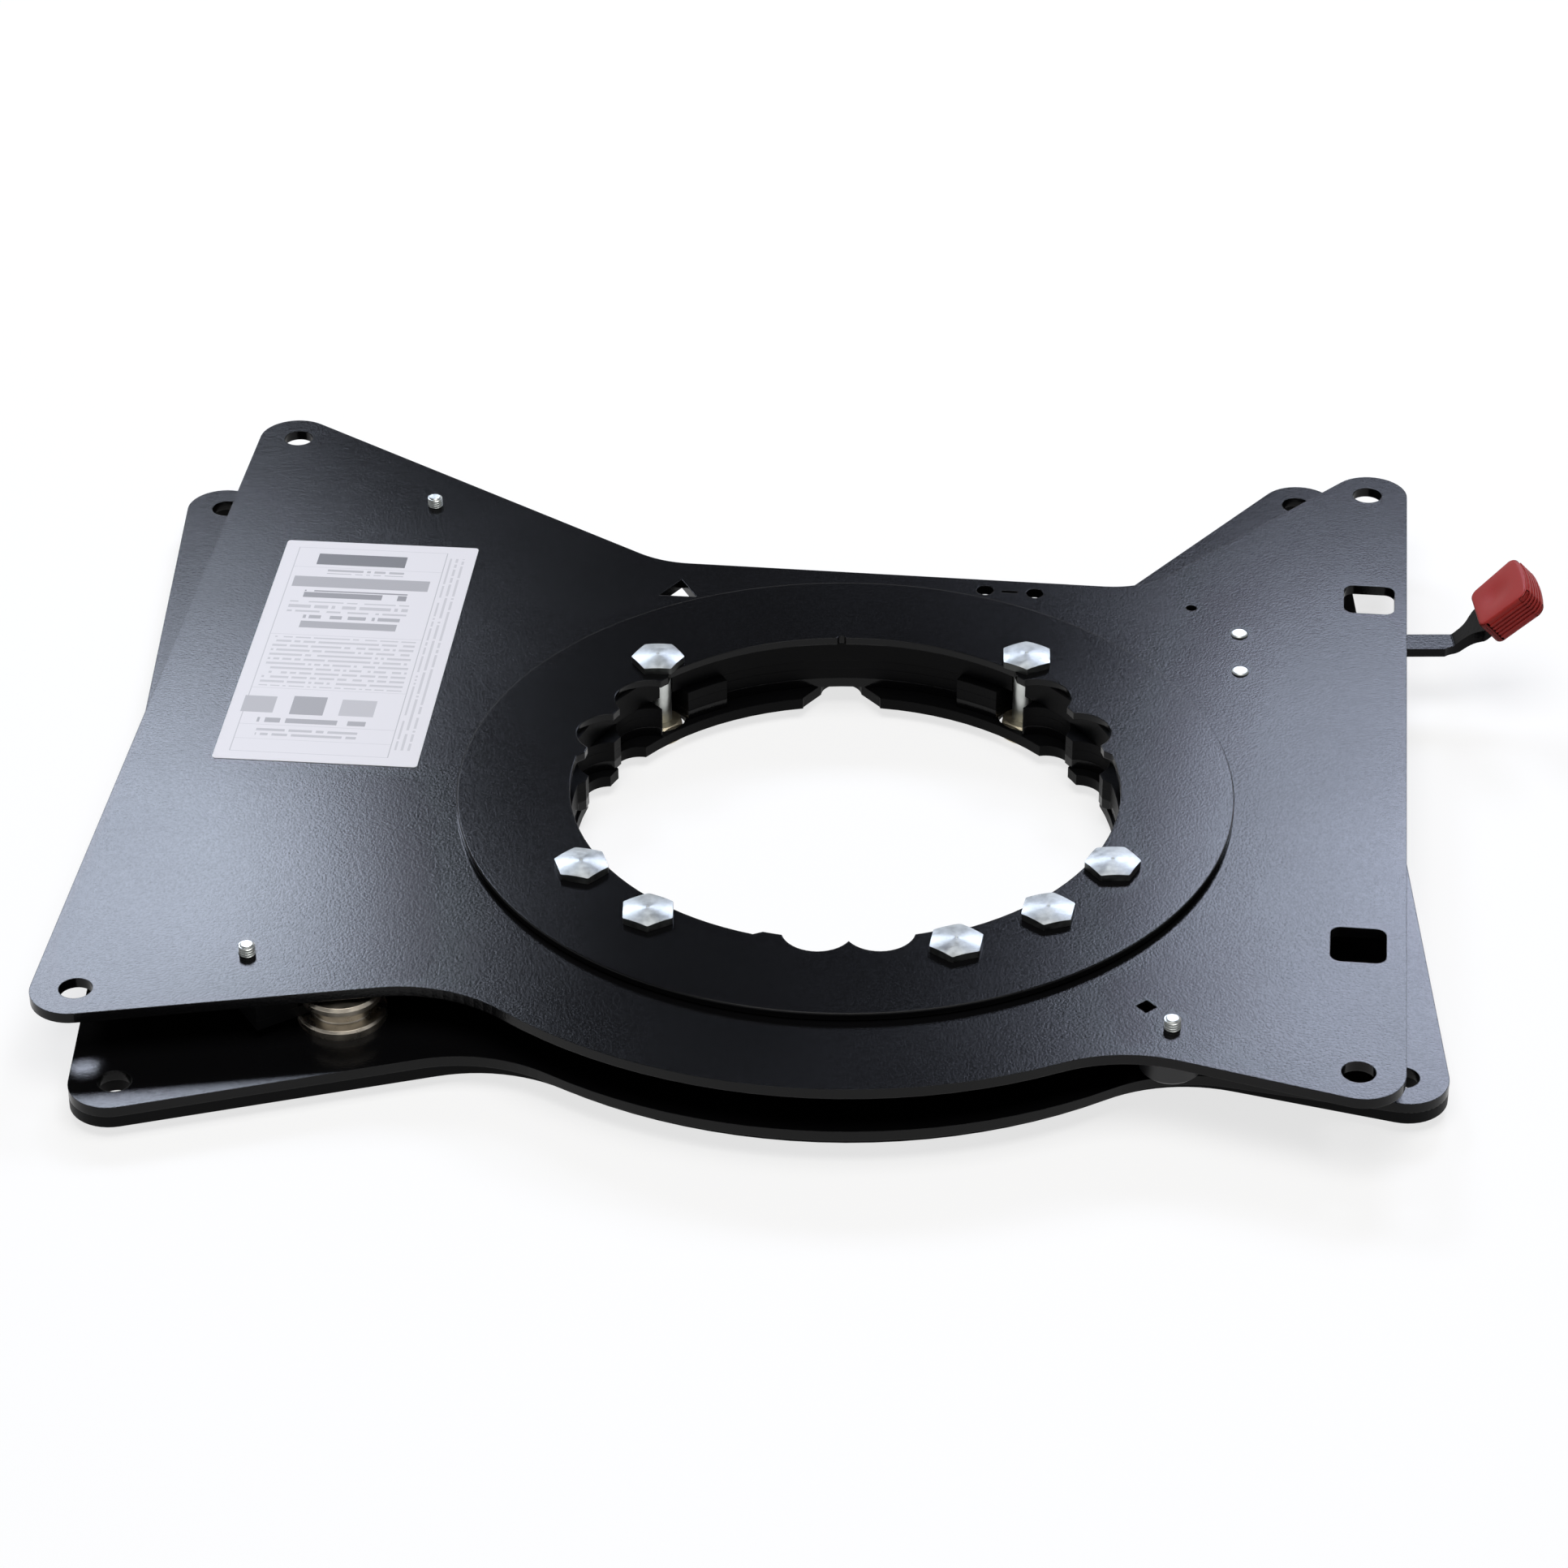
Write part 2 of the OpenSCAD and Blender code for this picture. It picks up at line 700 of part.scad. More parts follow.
// Outline of the lever seen from above, from its pivot, with the bar along X; its bent end has a waist
module lever2d() {
    boss_r = 9;
    tail_r = 6.5;
    back_y = bar_off + bar_w / 2;
    front_y = bar_off - bar_w / 2;
    tail = drive_at - lever_at;
    tail_at = [tail[0] * cos(bar_yaw) + tail[1] * sin(bar_yaw), tail[1] * cos(bar_yaw) - tail[0] * sin(bar_yaw)];
    link2d([0, 0], tail_at, boss_r, tail_r);
    waist_x = bar_run + 2.8;
    neck_r = 4.6;
    waist_r = 9;
    waist_depth = 2.4;
    tab_r = 2.4;
    polygon(concat(
        [[0, front_y]],
        arc([waist_x, front_y + waist_depth - waist_r], waist_r, 132, 40),
        arc([waist_x + 10, front_y - tab_side_front + tab_r], tab_r, 210, 270),
        [[bar_run + 60, front_y - tab_side_front], [bar_run + 60, back_y + tab_side_back]],
        arc([waist_x + 7.2, back_y + tab_side_back - tab_r], tab_r, 90, 130),
        arc([waist_x, back_y + neck_r], neck_r, -30, -90),
        [[0, back_y]]
    ));
}

// Side view of the bar with its bend, the bend starting at the origin
module bar_profile2d() {
    hub = [0, lever_t + bend_r];
    steps = 8;
    out = tab_l * polar(1, bend_angle);
    low = [for (i = [0:steps]) hub + polar(bend_r + lever_t, -90 + bend_angle * i / steps)];
    high = [for (i = [steps:-1:0]) hub + polar(bend_r, -90 + bend_angle * i / steps)];
    polygon(concat(
        [[-bar_run - 40, 0]],
        low,
        [low[steps] + out, high[0] + out],
        high,
        [[-bar_run - 40, lever_t]]
    ));
}

module lever_solid() {
    intersection() {
        translate([0, 0, -1]) linear_extrude(60) lever2d();
        translate([bar_run, bar_off, 0]) rotate(crease_turn) rotate([90, 0, 0]) {
            linear_extrude(120, center = true) bar_profile2d();
        }
    }
}

module at_lever(z) {
    on_swivel(z) place(lever_at) rotate(bar_yaw) children();
}

module lever_arm() {
    tail = drive_at - lever_at;
    color(black) difference() {
        at_lever(z_lever) lever_solid();
        on_swivel(z_lever - 1) place(lever_at) cylinder(r = pin_r + slip, h = lever_t + 2, $fn = 48);
        on_swivel(z_lever - 1) place(drive_at) cylinder(r = drive_r + snug, h = lever_t + 2, $fn = 48);
    }
}

// Seen from above the grip widens outwards, and its far end is crowned
module grip_plan2d() {
    corner_r = 3.4;
    crown_r = 45;
    near = grip_w / 2 - grip_flare / 4 - corner_r;
    far = grip_w / 2 + grip_flare / 4 - corner_r;
    tilt = atan(grip_flare / 2 / grip_l);
    turn = asin(far / (crown_r - corner_r));
    crown_at = [grip_l / 2 - crown_r, 0];
    x1 = corner_r - grip_l / 2;
    polygon(concat(
        arc(crown_at, crown_r, -turn, turn),
        arc(crown_at + polar(crown_r - corner_r, turn), corner_r, turn, 90 + tilt),
        arc([x1, near], corner_r, 90 + tilt, 180),
        arc([x1, -near], corner_r, 180, 270 - tilt),
        arc(crown_at + polar(crown_r - corner_r, -turn), corner_r, 270 - tilt, 360 - turn)
    ));
}

// Rounded block with a thumb hollow on top and long ribs on its front side
module grip_body() {
    rib_step = 1.6;
    rib_h = 0.8;
    rib_out = 0.5;
    hollow_r = 27;
    hollow_d = 1;
    tilt = atan(grip_flare / 2 / grip_l);
    difference() {
        union() {
            intersection() {
                translate([0, 0, -grip_t]) linear_extrude(2 * grip_t) grip_plan2d();
                rotate([90, 0, 0]) linear_extrude(2 * grip_w, center = true) window2d(grip_l, grip_t, grip_round);
            }
            for (i = [-2:2]) translate([-0.5, 1 - rib_out - grip_w / 2, i * rib_step]) rotate(-tilt) {
                cube([grip_l - 7, 2, rib_h], center = true);
            }
        }
        translate([-2, 0, grip_t / 2 - hollow_d + hollow_r]) sphere(r = hollow_r, $fn = 64);
    }
}

module grip() {
    color([0.75, 0.1, 0.08]) difference() {
        at_lever(z_lever + lever_t / 2) translate([bar_run, bar_off, 0]) rotate([0, -bend_angle, crease_turn]) {
            translate([grip_start + grip_l / 2, grip_across, -grip_drop]) grip_body();
        }
        at_lever(z_lever) lever_solid();
    }
}

module drive_pin() {
    z0 = z_pawl + 0.4;
    color(zinc) on_swivel(z0) place(drive_at) cylinder(r = drive_r, h = z_lever_top - z0, $fn = 48);
}

module pawl() {
    slot_r = drive_r + run_gap;
    slot_half_l = 0.8;
    arm_at = polar(rim_r + 11, nose_angle);
    reach = drive_at - pawl_at;
    aim = reach / norm(reach);
    nose_w = 7;
    color(steel) on_swivel(z_pawl) linear_extrude(lock_t) difference() {
        union() {
            link2d(pawl_at, arm_at, 8.5, 6.5);
            link2d(pawl_at, drive_at, 8.5, 6.3);
            rotate(nose_angle) polygon([
                [rim_r + run_gap, -nose_w / 2],
                [rim_r + 11, -nose_w / 2 - 1],
                [rim_r + 11, nose_w / 2 + 1],
                [rim_r + run_gap, nose_w / 2]
            ]);
        }
        translate(pawl_at) circle(r = pin_r + slip, $fn = 48);
        for (s = [-1, 1]) translate(drive_at + s * slot_half_l * aim) circle(r = slot_r, $fn = 48);
        translate(drive_at) rotate(atan2(aim[1], aim[0])) square([2 * slot_half_l, 2 * slot_r], center = true);
        translate(pawl_at + polar(coil_r, hook_angle)) circle(r = wire_r + run_gap, $fn = 24);
    }
}

// Coil spring as a swept wire: one end goes down into the pawl, the other leans on the spring post
module swept_wire(pts, r, sides) {
    n = len(pts);
    function along(i) =
        let (a = pts[max(i - 1, 0)])
        let (b = pts[min(i + 1, n - 1)])
        (b - a) / norm(b - a);
    function side_of(i) =
        let (t = along(i))
        let (o = [pts[i][0], pts[i][1], 0])
        let (v = o - (o * t) * t)
        v / norm(v);
    rings = [for (i = [0:n - 1]) for (k = [0:sides - 1])
        let (u = side_of(i))
        let (w = cross(along(i), u))
        pts[i] + r * (cos(360 * k / sides) * u + sin(360 * k / sides) * w)];
    walls = [for (i = [0:n - 2]) for (k = [0:sides - 1])
        let (k2 = (k + 1) % sides)
        [i * sides + k, (i + 1) * sides + k, (i + 1) * sides + k2, i * sides + k2]];
    caps = [
        [for (k = [0:sides - 1]) k],
        [for (k = [sides - 1:-1:0]) (n - 1) * sides + k]
    ];
    polyhedron(rings, concat(walls, caps));
}

module return_spring() {
    steps = 20;
    z_low = z_pawl_top + 0.2 + wire_r;
    z_high = z_upper - 0.3 - wire_r;
    turns = floor((z_high - z_low) / (2.15 * wire_r) - 0.75) + 0.75;
    hook_at = coil_r * polar(1, hook_angle);
    hook = [for (z = [z_pawl + 1, z_pawl + 2.5, z_pawl_top]) [hook_at[0], hook_at[1], z]];
    coil = [for (i = [1:turns * steps])
        let (a = hook_angle + 360 * i / steps)
        [coil_r * cos(a), coil_r * sin(a), z_low + (z_high - z_low) * i / (turns * steps)]];
    last_a = hook_angle + 360 * turns;
    leg = [for (d = [4, 8, 12]) [
        coil_r * cos(last_a) - d * sin(last_a),
        coil_r * sin(last_a) + d * cos(last_a),
        z_high
    ]];
    color(zinc) on_swivel(0) place(pawl_at) swept_wire(concat(hook, coil, leg), wire_r, 8);
}

bottom_plate();
lower_plate();
spacer_ring();
lock_ring();
hub_ring();
slide_ring();
clamp_ring();
clamp_bolts();
clamp_nuts();
lock_post();
upper_plate();
centre_bush();
label();
claw();
claw_spacer();
claw_screw();
rear_pad();
front_pad();
rear_pad_screw();
front_pad_screw();
lever_pin();
pawl_pin();
pawl_bush();
spring_post();
lever_arm();
grip();
drive_pin();
pawl();
return_spring();
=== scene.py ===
import math

import bpy
from mathutils import Matrix, Vector


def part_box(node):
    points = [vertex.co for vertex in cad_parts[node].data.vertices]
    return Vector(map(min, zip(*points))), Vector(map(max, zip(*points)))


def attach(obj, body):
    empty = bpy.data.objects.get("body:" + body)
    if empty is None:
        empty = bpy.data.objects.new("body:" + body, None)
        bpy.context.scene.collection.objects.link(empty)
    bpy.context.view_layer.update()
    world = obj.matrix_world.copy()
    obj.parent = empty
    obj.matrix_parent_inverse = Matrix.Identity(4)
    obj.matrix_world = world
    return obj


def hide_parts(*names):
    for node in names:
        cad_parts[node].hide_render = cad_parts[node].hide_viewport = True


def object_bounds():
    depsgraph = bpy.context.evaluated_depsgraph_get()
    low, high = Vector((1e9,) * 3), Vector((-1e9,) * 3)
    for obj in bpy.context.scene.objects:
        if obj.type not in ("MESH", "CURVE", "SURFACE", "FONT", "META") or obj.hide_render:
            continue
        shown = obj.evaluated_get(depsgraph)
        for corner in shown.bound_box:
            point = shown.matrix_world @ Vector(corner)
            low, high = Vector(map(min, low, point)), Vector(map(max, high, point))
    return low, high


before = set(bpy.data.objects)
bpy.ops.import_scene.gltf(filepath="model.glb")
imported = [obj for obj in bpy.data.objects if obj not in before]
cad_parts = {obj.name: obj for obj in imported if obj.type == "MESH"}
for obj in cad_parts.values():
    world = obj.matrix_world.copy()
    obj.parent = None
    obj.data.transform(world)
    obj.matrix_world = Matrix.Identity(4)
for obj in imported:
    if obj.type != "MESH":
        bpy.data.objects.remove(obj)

bl_info = {
    "name": "Swivel seat base",
    "version": (1, 0, 0),
    "blender": (4, 5, 0),
    "location": "3D View > Sidebar > Swivel base",
    "description": "Finishes and small parts of a swivel seat base, and a light studio for it",
    "category": "Object",
}

CAD_BOX = [list(map(float, v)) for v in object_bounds()]
MM = 0.001
SENSOR = 36.0  # width of the camera's sensor in millimetres
FRAME_PX = 1932.0  # width of the picture that the focal length is given for
FLOOR_GAP = 0.0004  # the floor lies this far under the lowest bolt end
SWIVEL_AXIS = (0.032, -0.044)
BOLT_CIRCLE = 0.1115
BOLT_SEAT = 0.030  # height of the clamp ring's top, on which the bolt heads sit
BOLT_SHANK = 0.005
# Each ring bolt: its place on the circle and the turn of its head, in degrees
BOLTS = [(50, 28), (130, 0), (210, -15), (230, 30), (290, 20), (310, 18), (330, 2)]
LATHE_MAP = "lathe"
# Soft boxes: name, place, width, height, colour. They stand where the plates mirror them to the camera.
SOFT_BOXES = [
    ("left_box", (-0.81, 2.2, 1.725), 0.82, 0.52, (0.76, 0.835, 1.0)),
    ("right_box", (0.77, 2.2, 1.745), 0.76, 0.54, (0.73, 0.80, 1.0)),
    ("top_box", (0.1, -0.35, 2.1), 1.6, 1.5, (1.0, 0.99, 0.975)),
]
BOXES_AIM = (0.03, -0.04, 0.02)
# Grip: roundings of its upright edges and rims, and how its ribs, far end and thumb hollow stand out
GRIP_CORNER = 0.0034
GRIP_RIM = 0.0011
GRIP_END = 0.0035
END_CURVE = 0.11
RIBS = range(-2, 3)
RIB_PITCH = 0.138  # share of the grip's thickness
RIB_HALF = 0.0004
RIB_HEIGHT = 0.0005
HOLLOW_DEPTH = 0.0009
# Screws under the upper plate: radii of head and shank, height of the head, length of the thread
SCREW_HEAD = 0.005
SCREW_SHANK = 0.003
SCREW_HEAD_HEIGHT = 0.0033
SCREW_THREAD = 0.0118
SCREW_RECESS = 0.0022
SCREW_TURNS = 11
THREAD_END = 0.0005  # the thread stops this far under the screw's end
# Ring bolts: rounding of the head's edges, radius and height of the ball that makes the centre mark
HEAD_CORNER = 0.0005
MARK_RADIUS = 0.0009
MARK_HEIGHT = 0.0006
SHANK_CHAMFER = 0.0006
# Polar map of the bolts: units of U to a metre of radius, and of V to a metre of height
MAP_U = 40
MAP_V = 20


def middle(node):
    """Centre of a CAD node's box."""
    low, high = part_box(node)
    return (Vector(low) + Vector(high)) / 2


# ---------------------------------------------------------------- settings


class SwivelStudio(bpy.types.PropertyGroup):
    camera_at: bpy.props.FloatVectorProperty(
        name="Camera", description="Where the camera stands",
        default=(0.009167, -1.483820, 0.987087), subtype="TRANSLATION", unit="LENGTH")
    camera_drop: bpy.props.FloatProperty(
        name="Camera pitch", description="How far the camera looks down",
        default=math.radians(33.6223), subtype="ANGLE")
    camera_roll: bpy.props.FloatProperty(
        name="Camera roll", description="Turn of the camera about its own axis",
        default=math.radians(-0.1682), subtype="ANGLE")
    focal_px: bpy.props.FloatProperty(
        name="Focal length", description="Focal length in pixels of a 1932 pixel frame",
        default=5700.487)
    sky: bpy.props.FloatVectorProperty(
        name="Sky", description="Colour of the even light from overhead",
        default=(0.03, 0.031, 0.034), subtype="COLOR")
    left_box: bpy.props.FloatProperty(
        name="Left box", description="Power of the strip box behind on the left",
        default=27.0, unit="POWER")
    right_box: bpy.props.FloatProperty(
        name="Right box", description="Power of the strip box behind on the right",
        default=26.0, unit="POWER")
    top_box: bpy.props.FloatProperty(
        name="Top box", description="Power of the soft box overhead", default=31.5, unit="POWER")
    floor_glow: bpy.props.FloatProperty(
        name="Floor glow", description="Share of the floor's white that its shadow leaves",
        default=0.72, min=0.0, max=1.0)


class SwivelFinishes(bpy.types.PropertyGroup):
    coat: bpy.props.FloatVectorProperty(
        name="Powder coat", description="Colour of the coated sheet",
        default=(0.003, 0.003, 0.0034), subtype="COLOR")
    coat_rough: bpy.props.FloatProperty(
        name="Coat roughness", description="Roughness of the coated sheet",
        default=0.185, min=0.0, max=1.0)
    zinc: bpy.props.FloatVectorProperty(
        name="Zinc", description="Colour of the bolt heads",
        default=(0.60, 0.62, 0.60), subtype="COLOR")
    nut_zinc: bpy.props.FloatVectorProperty(
        name="Yellow zinc", description="Colour of the nuts",
        default=(0.55, 0.49, 0.36), subtype="COLOR")
    post: bpy.props.FloatVectorProperty(
        name="Post steel", description="Colour of the turned lock post",
        default=(0.60, 0.54, 0.45), subtype="COLOR")
    red: bpy.props.FloatVectorProperty(
        name="Grip red", description="Colour of the moulded grip",
        default=(0.35, 0.020, 0.016), subtype="COLOR")
    film: bpy.props.FloatVectorProperty(
        name="Label film", description="Colour of the label's film",
        default=(0.735, 0.71, 0.715), subtype="COLOR")


class SwivelSizes(bpy.types.PropertyGroup):
    label_turn: bpy.props.FloatProperty(
        name="Label turn", description="How the label lies, counted from the X axis",
        default=math.radians(-5.3), subtype="ANGLE")
    grip_size: bpy.props.FloatVectorProperty(
        name="Grip size", description="Length, width and thickness of the grip",
        default=(0.0247, 0.0268, 0.0120), subtype="XYZ", unit="LENGTH")
    grip_flare: bpy.props.FloatProperty(
        name="Grip flare", description="How much wider the grip's far end is than its near end",
        default=0.004, subtype="DISTANCE", unit="LENGTH")
    grip_at: bpy.props.FloatVectorProperty(
        name="Grip place", description="Middle of the grip",
        default=(0.294083, 0.070417, 0.039082), subtype="TRANSLATION", unit="LENGTH")
    grip_turn: bpy.props.FloatVectorProperty(
        name="Grip turn", description="How the grip is turned",
        default=(0.0, math.radians(-44), math.radians(2)), subtype="EULER")
    head_width: bpy.props.FloatProperty(
        name="Bolt head width", description="Width of a bolt head across its flats",
        default=0.018, subtype="DISTANCE", unit="LENGTH")
    head_dome: bpy.props.FloatProperty(
        name="Bolt head dome", description="Radius of the ball that rounds a bolt head",
        default=0.044, subtype="DISTANCE", unit="LENGTH")
    thread_pitch: bpy.props.FloatProperty(
        name="Thread pitch", description="Pitch of the screw ends' thread",
        default=0.001, subtype="DISTANCE", unit="LENGTH")
    thread_depth: bpy.props.FloatProperty(
        name="Thread depth", description="Depth of the screw ends' thread",
        default=0.00055, subtype="DISTANCE", unit="LENGTH")


# ---------------------------------------------------------------- node helpers


def add(tree, kind, at, **values):
    """Adds a node at a place in the editor; values set its properties or its sockets."""
    n = tree.nodes.new(kind)
    n.location = at
    for key, value in values.items():
        if hasattr(n, key):
            setattr(n, key, value)
        else:
            n.inputs[key.replace("_", " ")].default_value = value
    return n


def wire(tree, a, b):
    tree.links.new(a, b)


def new_group(name, inputs, outputs):
    """A shader node group with named sockets. inputs: (name, type, default)."""
    g = bpy.data.node_groups.new(name, "ShaderNodeTree")
    for label, kind, default in inputs:
        s = g.interface.new_socket(name=label, in_out="INPUT", socket_type="NodeSocket" + kind)
        if default is not None:
            s.default_value = default
    for label, kind in outputs:
        g.interface.new_socket(name=label, in_out="OUTPUT", socket_type="NodeSocket" + kind)
    return g, add(g, "NodeGroupInput", (-900, 0)), add(g, "NodeGroupOutput", (700, 0))


def math_node(tree, op, at, a, b=None):
    n = add(tree, "ShaderNodeMath", at, operation=op)
    for i, v in enumerate((a, b)):
        if v is None:
            continue
        if hasattr(v, "is_output"):
            wire(tree, v, n.inputs[i])
        else:
            n.inputs[i].default_value = v
    return n.outputs[0]


def blank_material(name, colour, rough, metal=0.0):
    m = bpy.data.materials.new(name)
    m.use_nodes = True
    t = m.node_tree
    t.nodes.clear()
    out = add(t, "ShaderNodeOutputMaterial", (600, 0))
    p = add(t, "ShaderNodeBsdfPrincipled", (300, 0))
    wire(t, p.outputs["BSDF"], out.inputs["Surface"])
    p.inputs["Base Color"].default_value = (*colour, 1)
    p.inputs["Roughness"].default_value = rough
    p.inputs["Metallic"].default_value = metal
    m.diffuse_color = (*colour, 1)
    return m, t, p


def group_in(tree, group, at, **values):
    n = add(tree, "ShaderNodeGroup", at)
    n.node_tree = bpy.data.node_groups[group]
    for key, value in values.items():
        n.inputs[key.replace("_", " ")].default_value = value
    return n


# ---------------------------------------------------------------- node groups


def build_orange_peel():
    """Fine pebbled skin of a powder coat, with slow waves under it."""
    sockets = [("Vector", "Vector", None), ("Grain size", "Float", 0.0011), ("Waves", "Float", 0.3)]
    g, i, o = new_group("Orange peel", sockets, [("Height", "Float"), ("Sheen", "Float")])
    scale = math_node(g, "DIVIDE", (-700, 200), 1.0, i.outputs["Grain size"])
    fine = add(g, "ShaderNodeTexNoise", (-450, 250), Detail=2.0, Roughness=0.55)
    slow = add(g, "ShaderNodeTexNoise", (-450, -50), Detail=3.0, Roughness=0.5, Scale=38.0)
    cloud = add(g, "ShaderNodeTexNoise", (-450, -350), Detail=2.0, Scale=7.0)
    wire(g, scale, fine.inputs["Scale"])
    for n in (fine, slow, cloud):
        wire(g, i.outputs["Vector"], n.inputs["Vector"])
    waves = math_node(g, "MULTIPLY", (-200, -50), slow.outputs["Fac"], i.outputs["Waves"])
    wire(g, math_node(g, "ADD", (100, 150), fine.outputs["Fac"], waves), o.inputs["Height"])
    both = math_node(g, "ADD", (-50, -300), cloud.outputs["Fac"], fine.outputs["Fac"])
    wire(g, math_node(g, "MULTIPLY", (150, -250), both, 0.5), o.inputs["Sheen"])


def build_plating():
    """Mottled zinc plate: soft patches with fine pits and scratches."""
    g, i, o = new_group("Plating", [("Vector", "Vector", None), ("Patch size", "Float", 0.004)],
                        [("Patches", "Float"), ("Height", "Float")])
    scale = math_node(g, "DIVIDE", (-700, 200), 1.0, i.outputs["Patch size"])
    patch = add(g, "ShaderNodeTexNoise", (-450, 250), Detail=3.0)
    pits = add(g, "ShaderNodeTexNoise", (-450, 0), Scale=2600.0, Detail=1.0)
    wire(g, scale, patch.inputs["Scale"])
    stretch = add(g, "ShaderNodeMapping", (-700, -250))
    stretch.inputs["Scale"].default_value = (1, 14, 1)
    scratch = add(g, "ShaderNodeTexNoise", (-450, -250), Scale=260.0, Detail=3.0)
    wire(g, i.outputs["Vector"], stretch.inputs["Vector"])
    wire(g, stretch.outputs["Vector"], scratch.inputs["Vector"])
    for n in (patch, pits):
        wire(g, i.outputs["Vector"], n.inputs["Vector"])
    wire(g, patch.outputs["Fac"], o.inputs["Patches"])
    wire(g, math_node(g, "ADD", (0, -100), pits.outputs["Fac"], scratch.outputs["Fac"]), o.inputs["Height"])


def build_painted_side_shade():
    """1 on faces that look up or down, and a painted shade on upright ones: their colour is darkened to stand
    for the shade and dark reflections on them.
    """
    g, i, o = new_group("Side tone", [("Side", "Float", 1.0)], [("Tone", "Float")])
    where = add(g, "ShaderNodeNewGeometry", (-800, 0))
    xyz = add(g, "ShaderNodeSeparateXYZ", (-600, 0))
    wire(g, where.outputs["True Normal"], xyz.inputs[0])
    level = add(g, "ShaderNodeMapRange", (-150, 0))
    level.inputs["From Min"].default_value = 0.35
    level.inputs["From Max"].default_value = 0.75
    wire(g, math_node(g, "ABSOLUTE", (-400, 0), xyz.outputs["Z"]), level.inputs["Value"])
    wire(g, i.outputs["Side"], level.inputs["To Min"])
    wire(g, level.outputs["Result"], o.inputs["Tone"])


def build_field():
    """1 inside a rectangle, 0 outside."""
    sockets = [("Vector", "Vector", None), ("Left", "Float", 0), ("Right", "Float", 1),
               ("Low", "Float", 0), ("High", "Float", 1)]
    g, i, o = new_group("Printed field", sockets, [("Mask", "Float")])
    xyz = add(g, "ShaderNodeSeparateXYZ", (-700, 0))
    wire(g, i.outputs["Vector"], xyz.inputs[0])
    a = math_node(g, "GREATER_THAN", (-450, 300), xyz.outputs["X"], i.outputs["Left"])
    b = math_node(g, "LESS_THAN", (-450, 100), xyz.outputs["X"], i.outputs["Right"])
    c = math_node(g, "GREATER_THAN", (-450, -100), xyz.outputs["Y"], i.outputs["Low"])
    d = math_node(g, "LESS_THAN", (-450, -300), xyz.outputs["Y"], i.outputs["High"])
    ab = math_node(g, "MULTIPLY", (-200, 200), a, b)
    cd = math_node(g, "MULTIPLY", (-200, -200), c, d)
    wire(g, math_node(g, "MULTIPLY", (100, 0), ab, cd), o.inputs["Mask"])


def build_rows():
    """Rows of short dashes of uneven length, as plain stand-ins for lines of print."""
    sockets = [("Vector", "Vector", None), ("Row pitch", "Float", 3.0), ("Row height", "Float", 0.4),
               ("Dash", "Float", 1.6), ("Filled", "Float", 0.8)]
    g, i, o = new_group("Printed rows", sockets, [("Mask", "Float")])
    xyz = add(g, "ShaderNodeSeparateXYZ", (-700, 0))
    wire(g, i.outputs["Vector"], xyz.inputs[0])
    rows = math_node(g, "DIVIDE", (-500, 200), xyz.outputs["Y"], i.outputs["Row pitch"])
    within = math_node(g, "FRACT", (-300, 300), rows)
    inside = math_node(g, "LESS_THAN", (-100, 300), within, i.outputs["Row height"])
    row = math_node(g, "FLOOR", (-300, 100), rows)
    along = math_node(g, "DIVIDE", (-500, -100), xyz.outputs["X"], i.outputs["Dash"])
    step = math_node(g, "FLOOR", (-300, -100), along)
    cell = add(g, "ShaderNodeCombineXYZ", (-100, 0))
    wire(g, step, cell.inputs[0])
    wire(g, row, cell.inputs[1])
    chance = add(g, "ShaderNodeTexWhiteNoise", (80, 0))
    chance.noise_dimensions = "2D"
    wire(g, cell.outputs[0], chance.inputs["Vector"])
    on = math_node(g, "LESS_THAN", (260, 0), chance.outputs["Value"], i.outputs["Filled"])
    wire(g, math_node(g, "MULTIPLY", (450, 0), inside, on), o.inputs["Mask"])


# ---------------------------------------------------------------- materials


def two_tones(tree, at, colour, dark, light, low=0.0, high=1.0):
    """A ramp from a darker to a lighter shade of a colour."""
    n = add(tree, "ShaderNodeValToRGB", at)
    for element, place, tone in zip(n.color_ramp.elements, (low, high), (dark, light)):
        element.position = place
        element.color = (*(min(1, c * tone) for c in colour), 1)
    return n


def spread_of(tree, at, middle_value, half, low=0.0, high=1.0):
    """Maps a mask to a range of values about a middle one."""
    n = add(tree, "ShaderNodeMapRange", at)
    ends = {"From Min": low, "From Max": high, "To Min": middle_value - half, "To Max": middle_value + half}
    for key, value in ends.items():
        n.inputs[key].default_value = value
    return n


def roughen(tree, shader, height, strength, distance, edge):
    """Bumps a surface over edges that are rounded by a small radius."""
    soft = add(tree, "ShaderNodeBevel", (-450, -350), samples=4)
    soft.inputs["Radius"].default_value = edge
    dent = add(tree, "ShaderNodeBump", (-150, -200), Strength=strength, Distance=distance)
    wire(tree, height, dent.inputs["Height"])
    wire(tree, soft.outputs["Normal"], dent.inputs["Normal"])
    wire(tree, dent.outputs["Normal"], shader.inputs["Normal"])


